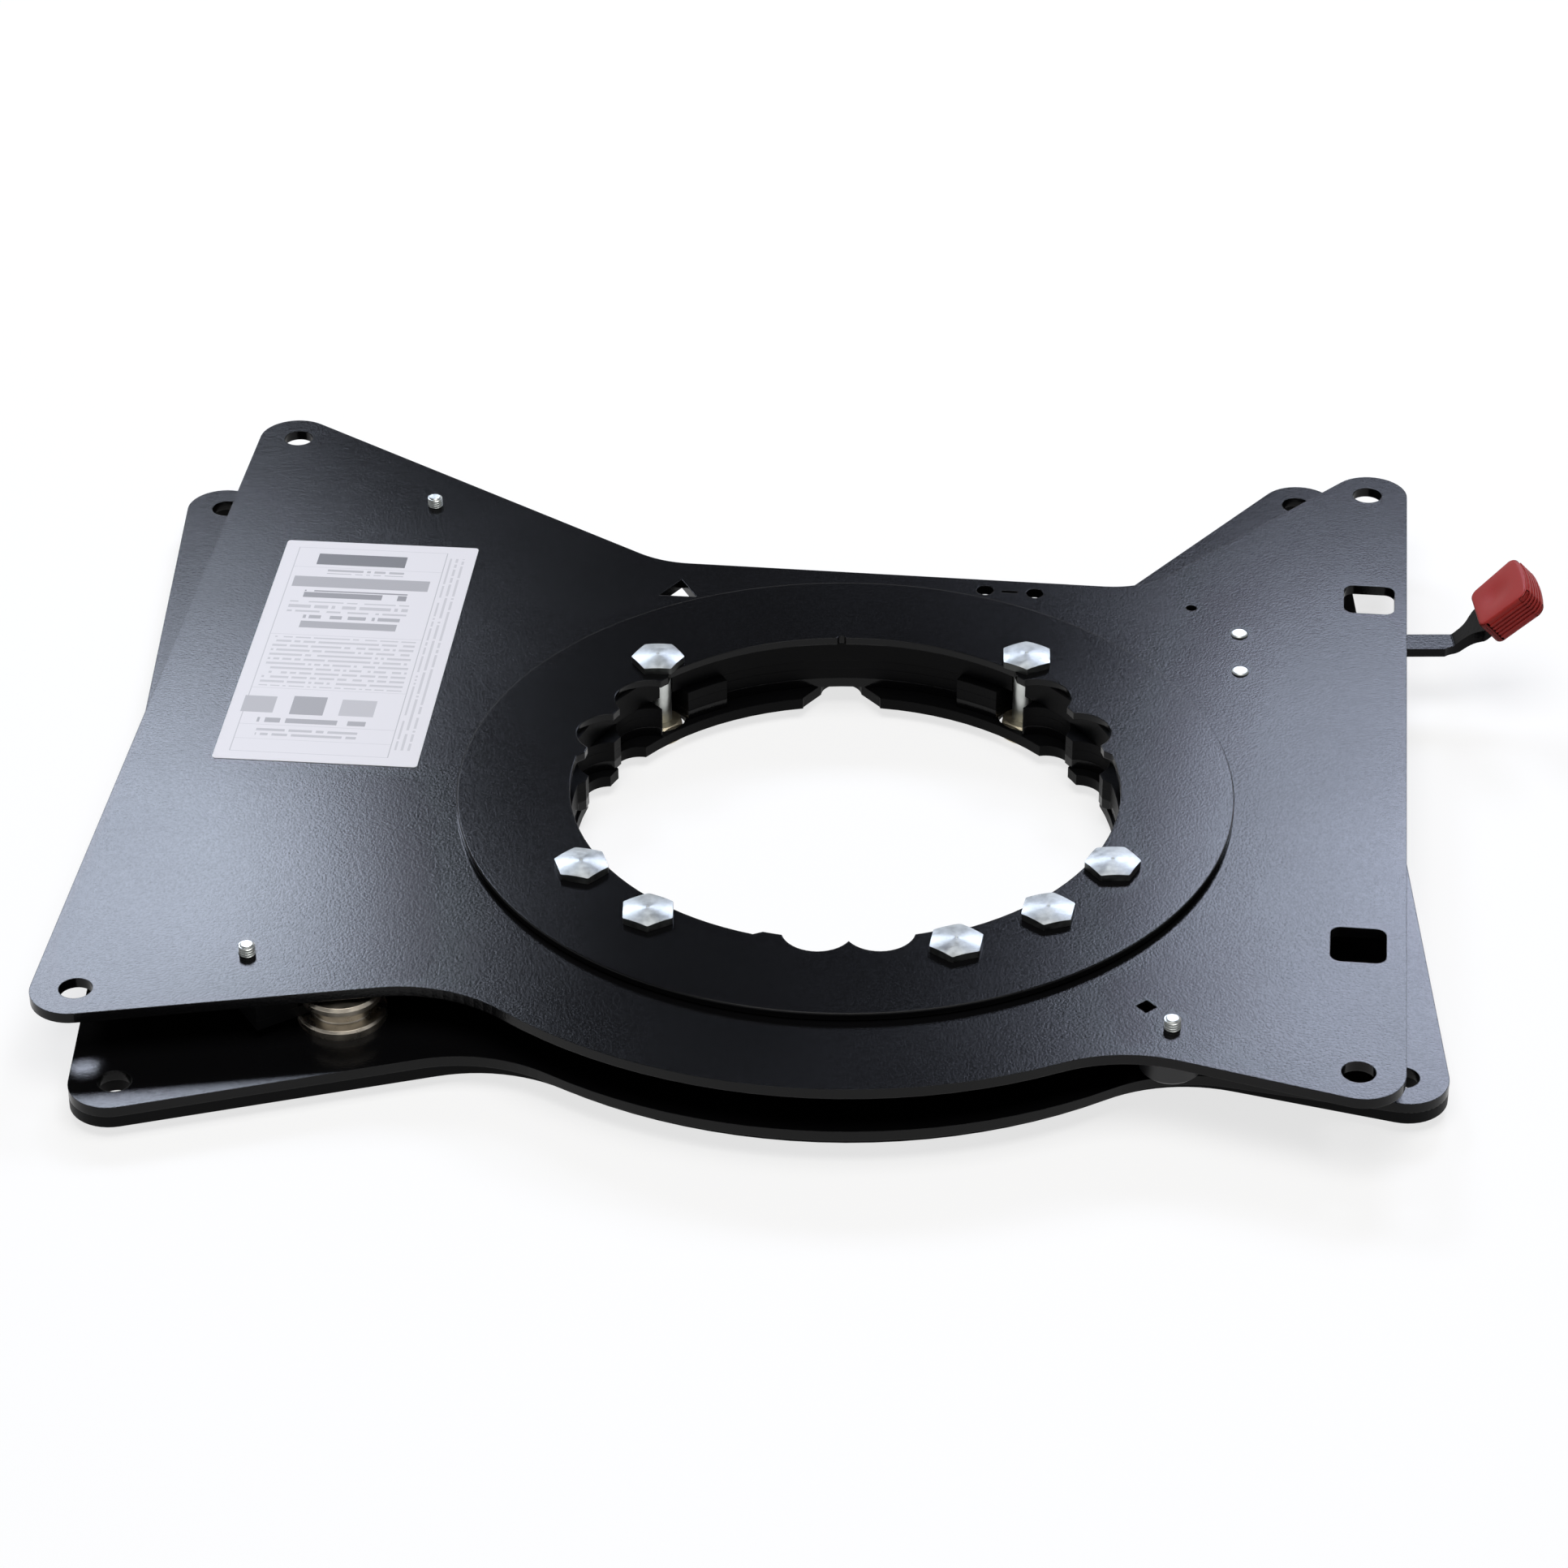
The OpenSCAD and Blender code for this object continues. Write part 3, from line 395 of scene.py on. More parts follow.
def coated_sheet(name, colour, rough, grain=0.0009, bump=0.19, edge=0.0004, gloss=0.18):
    """Black powder coat: a low gloss that keeps upright edges dark, with a pebbled skin."""
    m, t, p = blank_material(name, colour, rough)
    p.inputs["Specular IOR Level"].default_value = gloss
    at = add(t, "ShaderNodeTexCoord", (-1000, 0))
    skin = group_in(t, "Orange peel", (-750, 0), Grain_size=grain, Waves=0.35)
    wire(t, at.outputs["Object"], skin.inputs["Vector"])
    spread = spread_of(t, (-450, 150), rough, 0.05, 0.3, 0.7)
    wire(t, skin.outputs["Sheen"], spread.inputs["Value"])
    wire(t, spread.outputs["Result"], p.inputs["Roughness"])
    tone = two_tones(t, (-450, 420), colour, 0.75, 1.25)
    wire(t, skin.outputs["Sheen"], tone.inputs["Fac"])
    wire(t, tone.outputs["Color"], p.inputs["Base Color"])
    roughen(t, p, skin.outputs["Height"], bump, 0.0002, edge)
    return m


def plated(name, colour, rough, patch=0.004, spread=0.12, bump=0.12, edge=0.0003, side=1.0):
    """Metal with mottled plating, and a painted shade on upright faces where side is under 1, which darkens
    their colour by that share.
    """
    m, t, p = blank_material(name, colour, rough, 1.0)
    at = add(t, "ShaderNodeTexCoord", (-1000, 0))
    skin = group_in(t, "Plating", (-750, 0), Patch_size=patch)
    wire(t, at.outputs["Object"], skin.inputs["Vector"])
    ramp = two_tones(t, (-450, 250), colour, 0.78, 1.12, 0.3, 0.7)
    wire(t, skin.outputs["Patches"], ramp.inputs["Fac"])
    # Painted shade: the base colour of upright faces is multiplied by the side share.
    painted_side_shade = group_in(t, "Side tone", (-450, 480), Side=side)
    shaded = add(t, "ShaderNodeMix", (-100, 300), data_type="RGBA", blend_type="MULTIPLY")
    shaded.inputs[0].default_value = 1.0
    wire(t, ramp.outputs["Color"], shaded.inputs[6])
    wire(t, painted_side_shade.outputs["Tone"], shaded.inputs[7])
    wire(t, shaded.outputs[2], p.inputs["Base Color"])
    r = spread_of(t, (-450, 0), rough, spread / 2, 0.3, 0.7)
    wire(t, skin.outputs["Patches"], r.inputs["Value"])
    wire(t, r.outputs["Result"], p.inputs["Roughness"])
    roughen(t, p, skin.outputs["Height"], bump, 0.0001, edge)
    return m


def moulded(name, colour, rough, grain=0.0006, bump=0.15, edge=0.0003):
    """Moulded plastic with a fine matt grain."""
    m, t, p = blank_material(name, colour, rough)
    at = add(t, "ShaderNodeTexCoord", (-1000, 0))
    skin = group_in(t, "Orange peel", (-750, 0), Grain_size=grain, Waves=0.1)
    wire(t, at.outputs["Object"], skin.inputs["Vector"])
    ramp = two_tones(t, (-450, 250), colour, 0.85, 1.15, 0.3, 0.7)
    wire(t, skin.outputs["Sheen"], ramp.inputs["Fac"])
    wire(t, ramp.outputs["Color"], p.inputs["Base Color"])
    r = spread_of(t, (-450, 0), rough, 0.08)
    wire(t, skin.outputs["Sheen"], r.inputs["Value"])
    wire(t, r.outputs["Result"], p.inputs["Roughness"])
    roughen(t, p, skin.outputs["Height"], bump, 0.0001, edge)
    return m


def give(material, *nodes):
    """Puts one material on CAD nodes, whose shape stays as it is."""
    for name in nodes:
        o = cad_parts[name]
        o.data.materials.clear()
        o.data.materials.append(material)


# Plain fields on the label: left, right, low, high in millimetres from its middle, and how dark
FIELDS = [
    (-24.5, 11.5, 63.0, 71.5, 0.82),
    (-31.5, 23.5, 45.5, 53.5, 0.50),
    (-23.0, 15.5, 14.6, 19.6, 0.52),
    (-34.5, -22.0, -48.0, -36.5, 0.42),
    (-15.5, -2.5, -48.5, -35.5, 0.56),
    (3.5, 17.0, -48.0, -36.5, 0.34),
]
# Ruled lines of the label, thin rectangles
RULES = [
    (-33.6, -33.2, -75.5, 76.0, 0.30),
    (27.0, 27.4, -75.5, 76.0, 0.36),
    (-33.6, 27.4, 75.7, 76.0, 0.22),
    (-33.6, 27.4, -75.5, -75.2, 0.22),
    (-33.6, 27.4, 60.6, 60.9, 0.20),
    (-33.6, 27.4, 9.0, 9.3, 0.20),
    (-33.6, 27.4, -30.6, -30.3, 0.20),
    (-33.6, 27.4, -56.6, -56.3, 0.20),
    (-33.6, 27.4, -66.6, -66.3, 0.16),
]
# Blocks of dashed rows: left, right, low, high, row pitch, row height, dash, share filled, ink
ROWS = [
    (-19.0, 12.0, 56.0, 59.4, 3.4, 0.62, 1.5, 0.86, 0.42),
    (-25.5, 16.0, 37.5, 43.0, 6.0, 0.90, 3.1, 0.90, 0.66),
    (-30.0, 18.0, 26.2, 34.5, 4.2, 0.55, 1.4, 0.78, 0.30),
    (-24.0, 16.0, 21.0, 24.2, 3.6, 0.70, 1.2, 0.70, 0.50),
    (-31.0, 25.0, -29.0, 7.5, 3.3, 0.45, 1.2, 0.82, 0.27),
    (-27.0, 15.0, -54.8, -50.6, 4.6, 0.80, 2.0, 0.88, 0.52),
    (-26.0, 13.0, -64.8, -58.4, 3.2, 0.52, 1.5, 0.85, 0.34),
]

# Rows that run up the label's right margin
MARGIN_ROWS = (-72.0, 70.0, 28.8, 34.8, 2.6, 0.40, 1.3, 0.80, 0.24)


def label_material(film, turn):
    """White film with plain fields, ruled lines and rows of dashes, drawn in the label's own millimetres."""
    m, t, p = blank_material("label_film", film, 0.42)
    p.inputs["Specular IOR Level"].default_value = 0.4
    at = add(t, "ShaderNodeTexCoord", (-2600, 0))
    own = add(t, "ShaderNodeMapping", (-2400, 0), vector_type="TEXTURE")
    own.inputs["Location"].default_value = middle("label")
    own.inputs["Rotation"].default_value = (0, 0, turn)
    own.inputs["Scale"].default_value = (MM, MM, MM)
    wire(t, at.outputs["Object"], own.inputs["Vector"])
    ink = None
    for k, (a, b, c, d, strength) in enumerate(FIELDS + RULES):
        n = group_in(t, "Printed field", (-2100, 1600 - 200 * k), Left=a, Right=b, Low=c, High=d)
        wire(t, own.outputs["Vector"], n.inputs["Vector"])
        y = 1600 - 200 * k
        part = math_node(t, "MULTIPLY", (-1850, y), n.outputs["Mask"], strength)
        ink = part if ink is None else math_node(t, "MAXIMUM", (-1600, y), ink, part)
    side = add(t, "ShaderNodeMapping", (-2400, -1800))
    side.inputs["Rotation"].default_value = (0, 0, math.radians(90))
    wire(t, own.outputs["Vector"], side.inputs["Vector"])
    blocks = [(own, v) for v in ROWS] + [(side, MARGIN_ROWS)]
    for k, (source, (a, b, c, d, pitch, height, dash, share, strength)) in enumerate(blocks):
        y = -1500 - 260 * k
        n = group_in(t, "Printed field", (-2100, y), Left=a, Right=b, Low=c, High=d)
        r = group_in(t, "Printed rows", (-1850, y),
                     Row_pitch=pitch, Row_height=height, Dash=dash, Filled=share)
        wire(t, source.outputs["Vector"], n.inputs["Vector"])
        wire(t, source.outputs["Vector"], r.inputs["Vector"])
        both = math_node(t, "MULTIPLY", (-1600, y), n.outputs["Mask"], r.outputs["Mask"])
        part = math_node(t, "MULTIPLY", (-1480, y - 80), both, strength)
        ink = math_node(t, "MAXIMUM", (-1350, y), ink, part)
    ramp = add(t, "ShaderNodeValToRGB", (-900, 0))
    ramp.color_ramp.elements[0].color = (*film, 1)
    ramp.color_ramp.elements[1].color = (0.02, 0.02, 0.024, 1)
    wire(t, ink, ramp.inputs["Fac"])
    wire(t, ramp.outputs["Color"], p.inputs["Base Color"])
    fibre = add(t, "ShaderNodeTexNoise", (-900, -400), Scale=900.0, Detail=2.0)
    wire(t, at.outputs["Object"], fibre.inputs["Vector"])
    dent = add(t, "ShaderNodeBump", (-150, -200), Strength=0.06, Distance=0.0001)
    wire(t, fibre.outputs["Fac"], dent.inputs["Height"])
    wire(t, dent.outputs["Normal"], p.inputs["Normal"])
    return m


def lathed(name, colour):
    """Plated metal whose gloss is spread across the circular marks of a lathe."""
    # side=0.15 paints shade into the colour of the heads' upright faces.
    m = plated(name, colour, 0.43, patch=0.0025, spread=0.16, bump=0.16, edge=0.00025, side=0.15)
    t = m.node_tree
    p = t.nodes["Principled BSDF"]
    p.inputs["Anisotropic"].default_value = 0.55
    along = add(t, "ShaderNodeTangent", (0, -500))
    along.direction_type = "UV_MAP"
    along.uv_map = LATHE_MAP
    wire(t, along.outputs["Tangent"], p.inputs["Tangent"])
    return m


# ---------------------------------------------------------------- mesh helpers


def none_selected():
    if bpy.context.object and bpy.context.object.mode != "OBJECT":
        bpy.ops.object.mode_set(mode="OBJECT")
    bpy.ops.object.select_all(action="DESELECT")


def name_new(name):
    o = bpy.context.object
    o.name = o.data.name = name
    return o


def pick(o, kind, test):
    """Selects the vertices, edges or faces of o, in edit mode, that pass a test."""
    bpy.ops.mesh.select_all(action="DESELECT")
    bpy.ops.mesh.select_mode(type=kind)
    bpy.ops.object.mode_set(mode="OBJECT")
    items = {"VERT": o.data.vertices, "EDGE": o.data.edges, "FACE": o.data.polygons}[kind]
    for item in items:
        item.select = bool(test(item))
    bpy.ops.object.mode_set(mode="EDIT")


def finish_piece(o, material, body, node=None):
    none_selected()
    o.select_set(True)
    bpy.context.view_layer.objects.active = o
    bpy.ops.object.mode_set(mode="EDIT")
    bpy.ops.mesh.select_all(action="SELECT")
    bpy.ops.mesh.remove_doubles(threshold=1e-6)
    bpy.ops.mesh.normals_make_consistent(inside=False)
    bpy.ops.object.mode_set(mode="OBJECT")
    bpy.ops.object.transform_apply(location=True, rotation=True, scale=True)
    o.data.materials.clear()
    o.data.materials.append(material)
    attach(o, body)
    if node:
        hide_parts(node)


# ---------------------------------------------------------------- operators


class SWIVEL_OT_studio(bpy.types.Operator):
    """Sets up the floor, the soft boxes, the sky and the camera"""
    bl_idname = "swivel.studio"
    bl_label = "Light studio"

    def execute(self, context):
        s = context.scene.swivel_studio
        none_selected()
        bpy.ops.mesh.primitive_plane_add(size=14, location=(0, 1.2, CAD_BOX[0][2] - FLOOR_GAP))
        floor = name_new("floor")
        floor.data.materials.append(self.floor_material(s.floor_glow))
        self.sky(context, s.sky)
        for name, at, w, h, colour in SOFT_BOXES:
            bpy.ops.object.light_add(type="AREA", location=at)
            lamp = context.object
            lamp.name = name
            lamp.data.shape = "RECTANGLE"
            lamp.data.size = w
            lamp.data.size_y = h
            lamp.data.energy = getattr(s, name)
            lamp.data.color = colour
            aim = Vector(BOXES_AIM) - Vector(at)
            lamp.rotation_euler = aim.to_track_quat("-Z", "Y").to_euler()
        bpy.ops.object.camera_add()
        cam = context.object
        cam.name = "camera"
        cam.data.sensor_width = SENSOR
        cam.data.lens = s.focal_px / FRAME_PX * SENSOR
        cam.data.clip_start = 0.05
        cam.data.clip_end = 30
        pitch = Matrix.Rotation(math.radians(90) - s.camera_drop, 4, "X")
        roll = Matrix.Rotation(s.camera_roll, 4, "Z")
        cam.matrix_world = Matrix.Translation(Vector(s.camera_at)) @ pitch @ roll
        context.scene.camera = cam
        context.scene.view_settings.view_transform = "Standard"
        return {"FINISHED"}

    def floor_material(self, share):
        m = bpy.data.materials.new("floor_white")
        m.use_nodes = True
        t = m.node_tree
        t.nodes.clear()
        out = add(t, "ShaderNodeOutputMaterial", (600, 0))
        path = add(t, "ShaderNodeLightPath", (-600, 300))
        camera = path.outputs["Is Camera Ray"]
        seen = math_node(t, "MAXIMUM", (-300, 300), camera, path.outputs["Is Glossy Ray"])
        seen = math_node(t, "MAXIMUM", (-100, 300), seen, path.outputs["Is Transmission Ray"])
        base = add(t, "ShaderNodeBsdfDiffuse", (0, 0))
        base.inputs["Color"].default_value = (*[0.99 * (1 - share)] * 3, 1)
        glow = add(t, "ShaderNodeEmission", (0, -200))
        glow.inputs["Strength"].default_value = 1.03 * share
        lit = add(t, "ShaderNodeAddShader", (200, -100))
        pick_one = add(t, "ShaderNodeMixShader", (400, 0))
        wire(t, base.outputs[0], lit.inputs[0])
        wire(t, glow.outputs[0], lit.inputs[1])
        wire(t, seen, pick_one.inputs[0])
        wire(t, base.outputs[0], pick_one.inputs[1])
        wire(t, lit.outputs[0], pick_one.inputs[2])
        side = add(t, "ShaderNodeNewGeometry", (0, 500))
        below = math_node(t, "MULTIPLY", (200, 500), side.outputs["Backfacing"], camera)
        clear = add(t, "ShaderNodeBsdfTransparent", (200, 300))
        from_above = add(t, "ShaderNodeMixShader", (550, 100))
        wire(t, below, from_above.inputs[0])
        wire(t, pick_one.outputs[0], from_above.inputs[1])
        wire(t, clear.outputs[0], from_above.inputs[2])
        wire(t, from_above.outputs[0], out.inputs["Surface"])
        return m

    def sky(self, context, colour):
        """A world that is white near the horizon, as the floor's far end, and dim overhead.

        Gloss also sees the white backdrop that stands round the sides and the front of the set.
        """
        world = bpy.data.worlds.new("sky")
        world.use_nodes = True
        t = world.node_tree
        t.nodes.clear()
        out = add(t, "ShaderNodeOutputWorld", (600, 0))
        at = add(t, "ShaderNodeTexCoord", (-800, 0))
        xyz = add(t, "ShaderNodeSeparateXYZ", (-600, 0))
        wire(t, at.outputs["Generated"], xyz.inputs[0])
        ramp = add(t, "ShaderNodeValToRGB", (-400, 0))
        low, high = ramp.color_ramp.elements
        low.position, low.color = 0.14, (1, 1, 1, 1)
        high.position, high.color = 0.30, (*colour, 1)
        wire(t, xyz.outputs["Z"], ramp.inputs["Fac"])
        path = add(t, "ShaderNodeLightPath", (-600, -300))
        around = add(t, "ShaderNodeMapRange", (-400, -300), interpolation_type="SMOOTHSTEP")
        around.inputs["From Min"].default_value = 0.5
        around.inputs["From Max"].default_value = 0.1
        wire(t, xyz.outputs["Y"], around.inputs["Value"])
        under = add(t, "ShaderNodeMapRange", (-400, -600), interpolation_type="SMOOTHSTEP")
        under.inputs["From Min"].default_value = 0.8
        under.inputs["From Max"].default_value = 0.35
        wire(t, xyz.outputs["Z"], under.inputs["Value"])
        share = math_node(t, "MULTIPLY", (-200, -300), around.outputs["Result"], under.outputs["Result"])
        share = math_node(t, "MULTIPLY", (0, -300), share, path.outputs["Is Glossy Ray"])
        both = add(t, "ShaderNodeMix", (150, 0), data_type="RGBA")
        both.inputs[7].default_value = (0.85, 0.87, 0.9, 1)
        wire(t, share, both.inputs[0])
        wire(t, ramp.outputs["Color"], both.inputs[6])
        light = add(t, "ShaderNodeBackground", (300, 0))
        wire(t, both.outputs[2], light.inputs["Color"])
        wire(t, light.outputs[0], out.inputs["Surface"])
        context.scene.world = world


class SWIVEL_OT_sheets(bpy.types.Operator):
    """Gives the plates, rings and claw their powder coat"""
    bl_idname = "swivel.sheets"
    bl_label = "Coated sheets"

    def execute(self, context):
        f = context.scene.swivel_finishes
        plate = coated_sheet("coated_plate", tuple(f.coat), f.coat_rough)
        ring = coated_sheet("coated_ring", tuple(f.coat), f.coat_rough - 0.015, bump=0.15, edge=0.0007)
        inner = coated_sheet("coated_core", tuple(c * 0.7 for c in f.coat), 0.45, grain=0.0013, gloss=0.07)
        bar = coated_sheet("coated_bar", tuple(f.coat), 0.17, grain=0.0012, bump=0.15, gloss=0.1)
        give(plate, "upper_plate", "lower_plate")
        give(ring, "clamp_ring")
        give(inner, "bottom_plate", "spacer_ring", "lock_ring", "hub_ring", "claw", "claw_spacer")
        give(bar, "lever_arm")
        return {"FINISHED"}


class SWIVEL_OT_metal(bpy.types.Operator):
    """Gives bolts, nuts, pins and the lock post their metal"""
    bl_idname = "swivel.metal"
    bl_label = "Bare and plated metal"

    def execute(self, context):
        f = context.scene.swivel_finishes
        # side=0.3 paints shade into the colour of the upright faces of bolts, pins and screws.
        give(plated("bright_zinc", tuple(f.zinc), 0.34, side=0.3), "clamp_bolts", "lever_pin", "pawl_pin",
             "drive_pin", "claw_screw", "rear_pad_screw", "front_pad_screw")
        give(plated("yellow_zinc", tuple(f.nut_zinc), 0.46), "clamp_nuts")
        give(plated("turned_steel", tuple(f.post), 0.3, patch=0.006), "lock_post", "pawl_bush", "spring_post")
        give(plated("rolled_steel", (0.42, 0.42, 0.43), 0.45, patch=0.009), "pawl")
        give(plated("spring_wire", (0.5, 0.5, 0.51), 0.3, patch=0.002), "return_spring")
        return {"FINISHED"}


class SWIVEL_OT_plastic(bpy.types.Operator):
    """Gives the slide ring, the bush and the pads their plastic"""
    bl_idname = "swivel.plastic"
    bl_label = "Plastic parts"

    def execute(self, context):
        give(moulded("slide_plastic", (0.02, 0.02, 0.021), 0.45), "slide_ring", "centre_bush")
        give(moulded("pad_plastic", (0.012, 0.012, 0.013), 0.5), "rear_pad", "front_pad")
        return {"FINISHED"}


class SWIVEL_OT_label(bpy.types.Operator):
    """Prints plain fields and rows on the label"""
    bl_idname = "swivel.label"
    bl_label = "Label print"

    def execute(self, context):
        film = tuple(context.scene.swivel_finishes.film)
        give(label_material(film, context.scene.swivel_sizes.label_turn), "label")
        return {"FINISHED"}


class SWIVEL_OT_grip(bpy.types.Operator):
    """Moulds the red grip: a rounded block that widens outwards, with a thumb hollow and ribs"""
    bl_idname = "swivel.grip"
    bl_label = "Red grip"

    def execute(self, context):
        s = context.scene.swivel_sizes
        length, width, thick = s.grip_size
        none_selected()
        bpy.ops.mesh.primitive_cube_add(size=1, location=(0, 0, 0))
        o = name_new("grip_moulding")
        o.scale = (length, width, thick)
        bpy.ops.object.transform_apply(scale=True)
        bpy.ops.object.mode_set(mode="EDIT")
        for side in (-1, 1):
            pick(o, "FACE", lambda p: p.normal.x * side > 0.9)
            wider = 1 + side * s.grip_flare / 2 / width
            bpy.ops.transform.resize(value=(1, wider, 1), center_override=(0, 0, 0))
        self.round_corners(o, thick)
        self.crown(o, length, width)
        self.ribs(o, length, width, thick)
        self.hollow(o, length, width, thick)
        bpy.ops.object.shade_smooth_by_angle(angle=math.radians(38))
        o.location = s.grip_at
        o.rotation_euler = s.grip_turn
        colour = tuple(context.scene.swivel_finishes.red)
        red = moulded("grip_red", colour, 0.46, grain=0.0005, bump=0.2, edge=0.0001)
        red.node_tree.nodes["Principled BSDF"].inputs["Specular IOR Level"].default_value = 0.3
        finish_piece(o, red, "lever", "grip")
        return {"FINISHED"}

    def round_corners(self, o, thick):
        def upright(e):
            a, b = (o.data.vertices[i].co for i in e.vertices)
            return abs(a.z - b.z) > thick / 2
        pick(o, "EDGE", upright)
        bpy.ops.mesh.bevel(offset=GRIP_CORNER, segments=7, affect="EDGES")

        def rim(e):
            return all(abs(o.data.vertices[i].co.z) > thick / 2 - 1e-5 for i in e.vertices)
        pick(o, "EDGE", rim)
        bpy.ops.mesh.bevel(offset=GRIP_RIM, segments=5, affect="EDGES")

    def crown(self, o, length, width):
        """The far end bulges a little."""
        for k in range(-4, 5):
            bpy.ops.mesh.select_all(action="SELECT")
            bpy.ops.mesh.bisect(plane_co=(0, k * width / 11, 0), plane_no=(0, 1, 0))
        bpy.ops.object.mode_set(mode="OBJECT")
        for v in o.data.vertices:
            if v.co.x > length / 2 - 0.0036:
                v.co.x -= v.co.y ** 2 / END_CURVE
        bpy.ops.object.mode_set(mode="EDIT")

    def ribs(self, o, length, width, thick):
        """Five ribs along the front side, round the far corner and over the far end."""
        step = thick * RIB_PITCH
        end = length / 2 - GRIP_END
        for k in RIBS:
            for z in (k * step - RIB_HALF, k * step + RIB_HALF):
                bpy.ops.mesh.select_all(action="SELECT")
                bpy.ops.mesh.bisect(plane_co=(0, 0, z), plane_no=(0, 0, 1))
        bpy.ops.mesh.select_all(action="SELECT")
        bpy.ops.mesh.bisect(plane_co=(-end, 0, 0), plane_no=(1, 0, 0))

        def on_rib(p):
            along_side = p.normal.y < -0.05 and p.center.x > -end
            along_end = p.normal.x > 0.5 and p.center.y < width * 0.4
            return (abs(p.normal.z) < 0.2 and (along_side or along_end)
                    and min(abs(p.center.z - k * step) for k in RIBS) < RIB_HALF / 2)
        pick(o, "FACE", on_rib)
        bpy.ops.mesh.extrude_region_shrink_fatten(TRANSFORM_OT_shrink_fatten={"value": RIB_HEIGHT})

    def hollow(self, o, length, width, thick):
        """A shallow dish for the thumb, drawn into a finer top face."""
        for k in range(-6, 7):
            bpy.ops.mesh.select_all(action="SELECT")
            bpy.ops.mesh.bisect(plane_co=(k * length / 15, 0, 0), plane_no=(1, 0, 0))
        bpy.ops.mesh.select_all(action="DESELECT")
        bpy.ops.object.mode_set(mode="OBJECT")
        for v in o.data.vertices:
            r = math.hypot((v.co.x + 0.0018) / (length * 0.38), v.co.y / (width * 0.36))
            if v.co.z > thick / 2 - 0.0003 and r < 1:
                v.co.z -= HOLLOW_DEPTH * (math.cos(math.pi * r) + 1) / 2


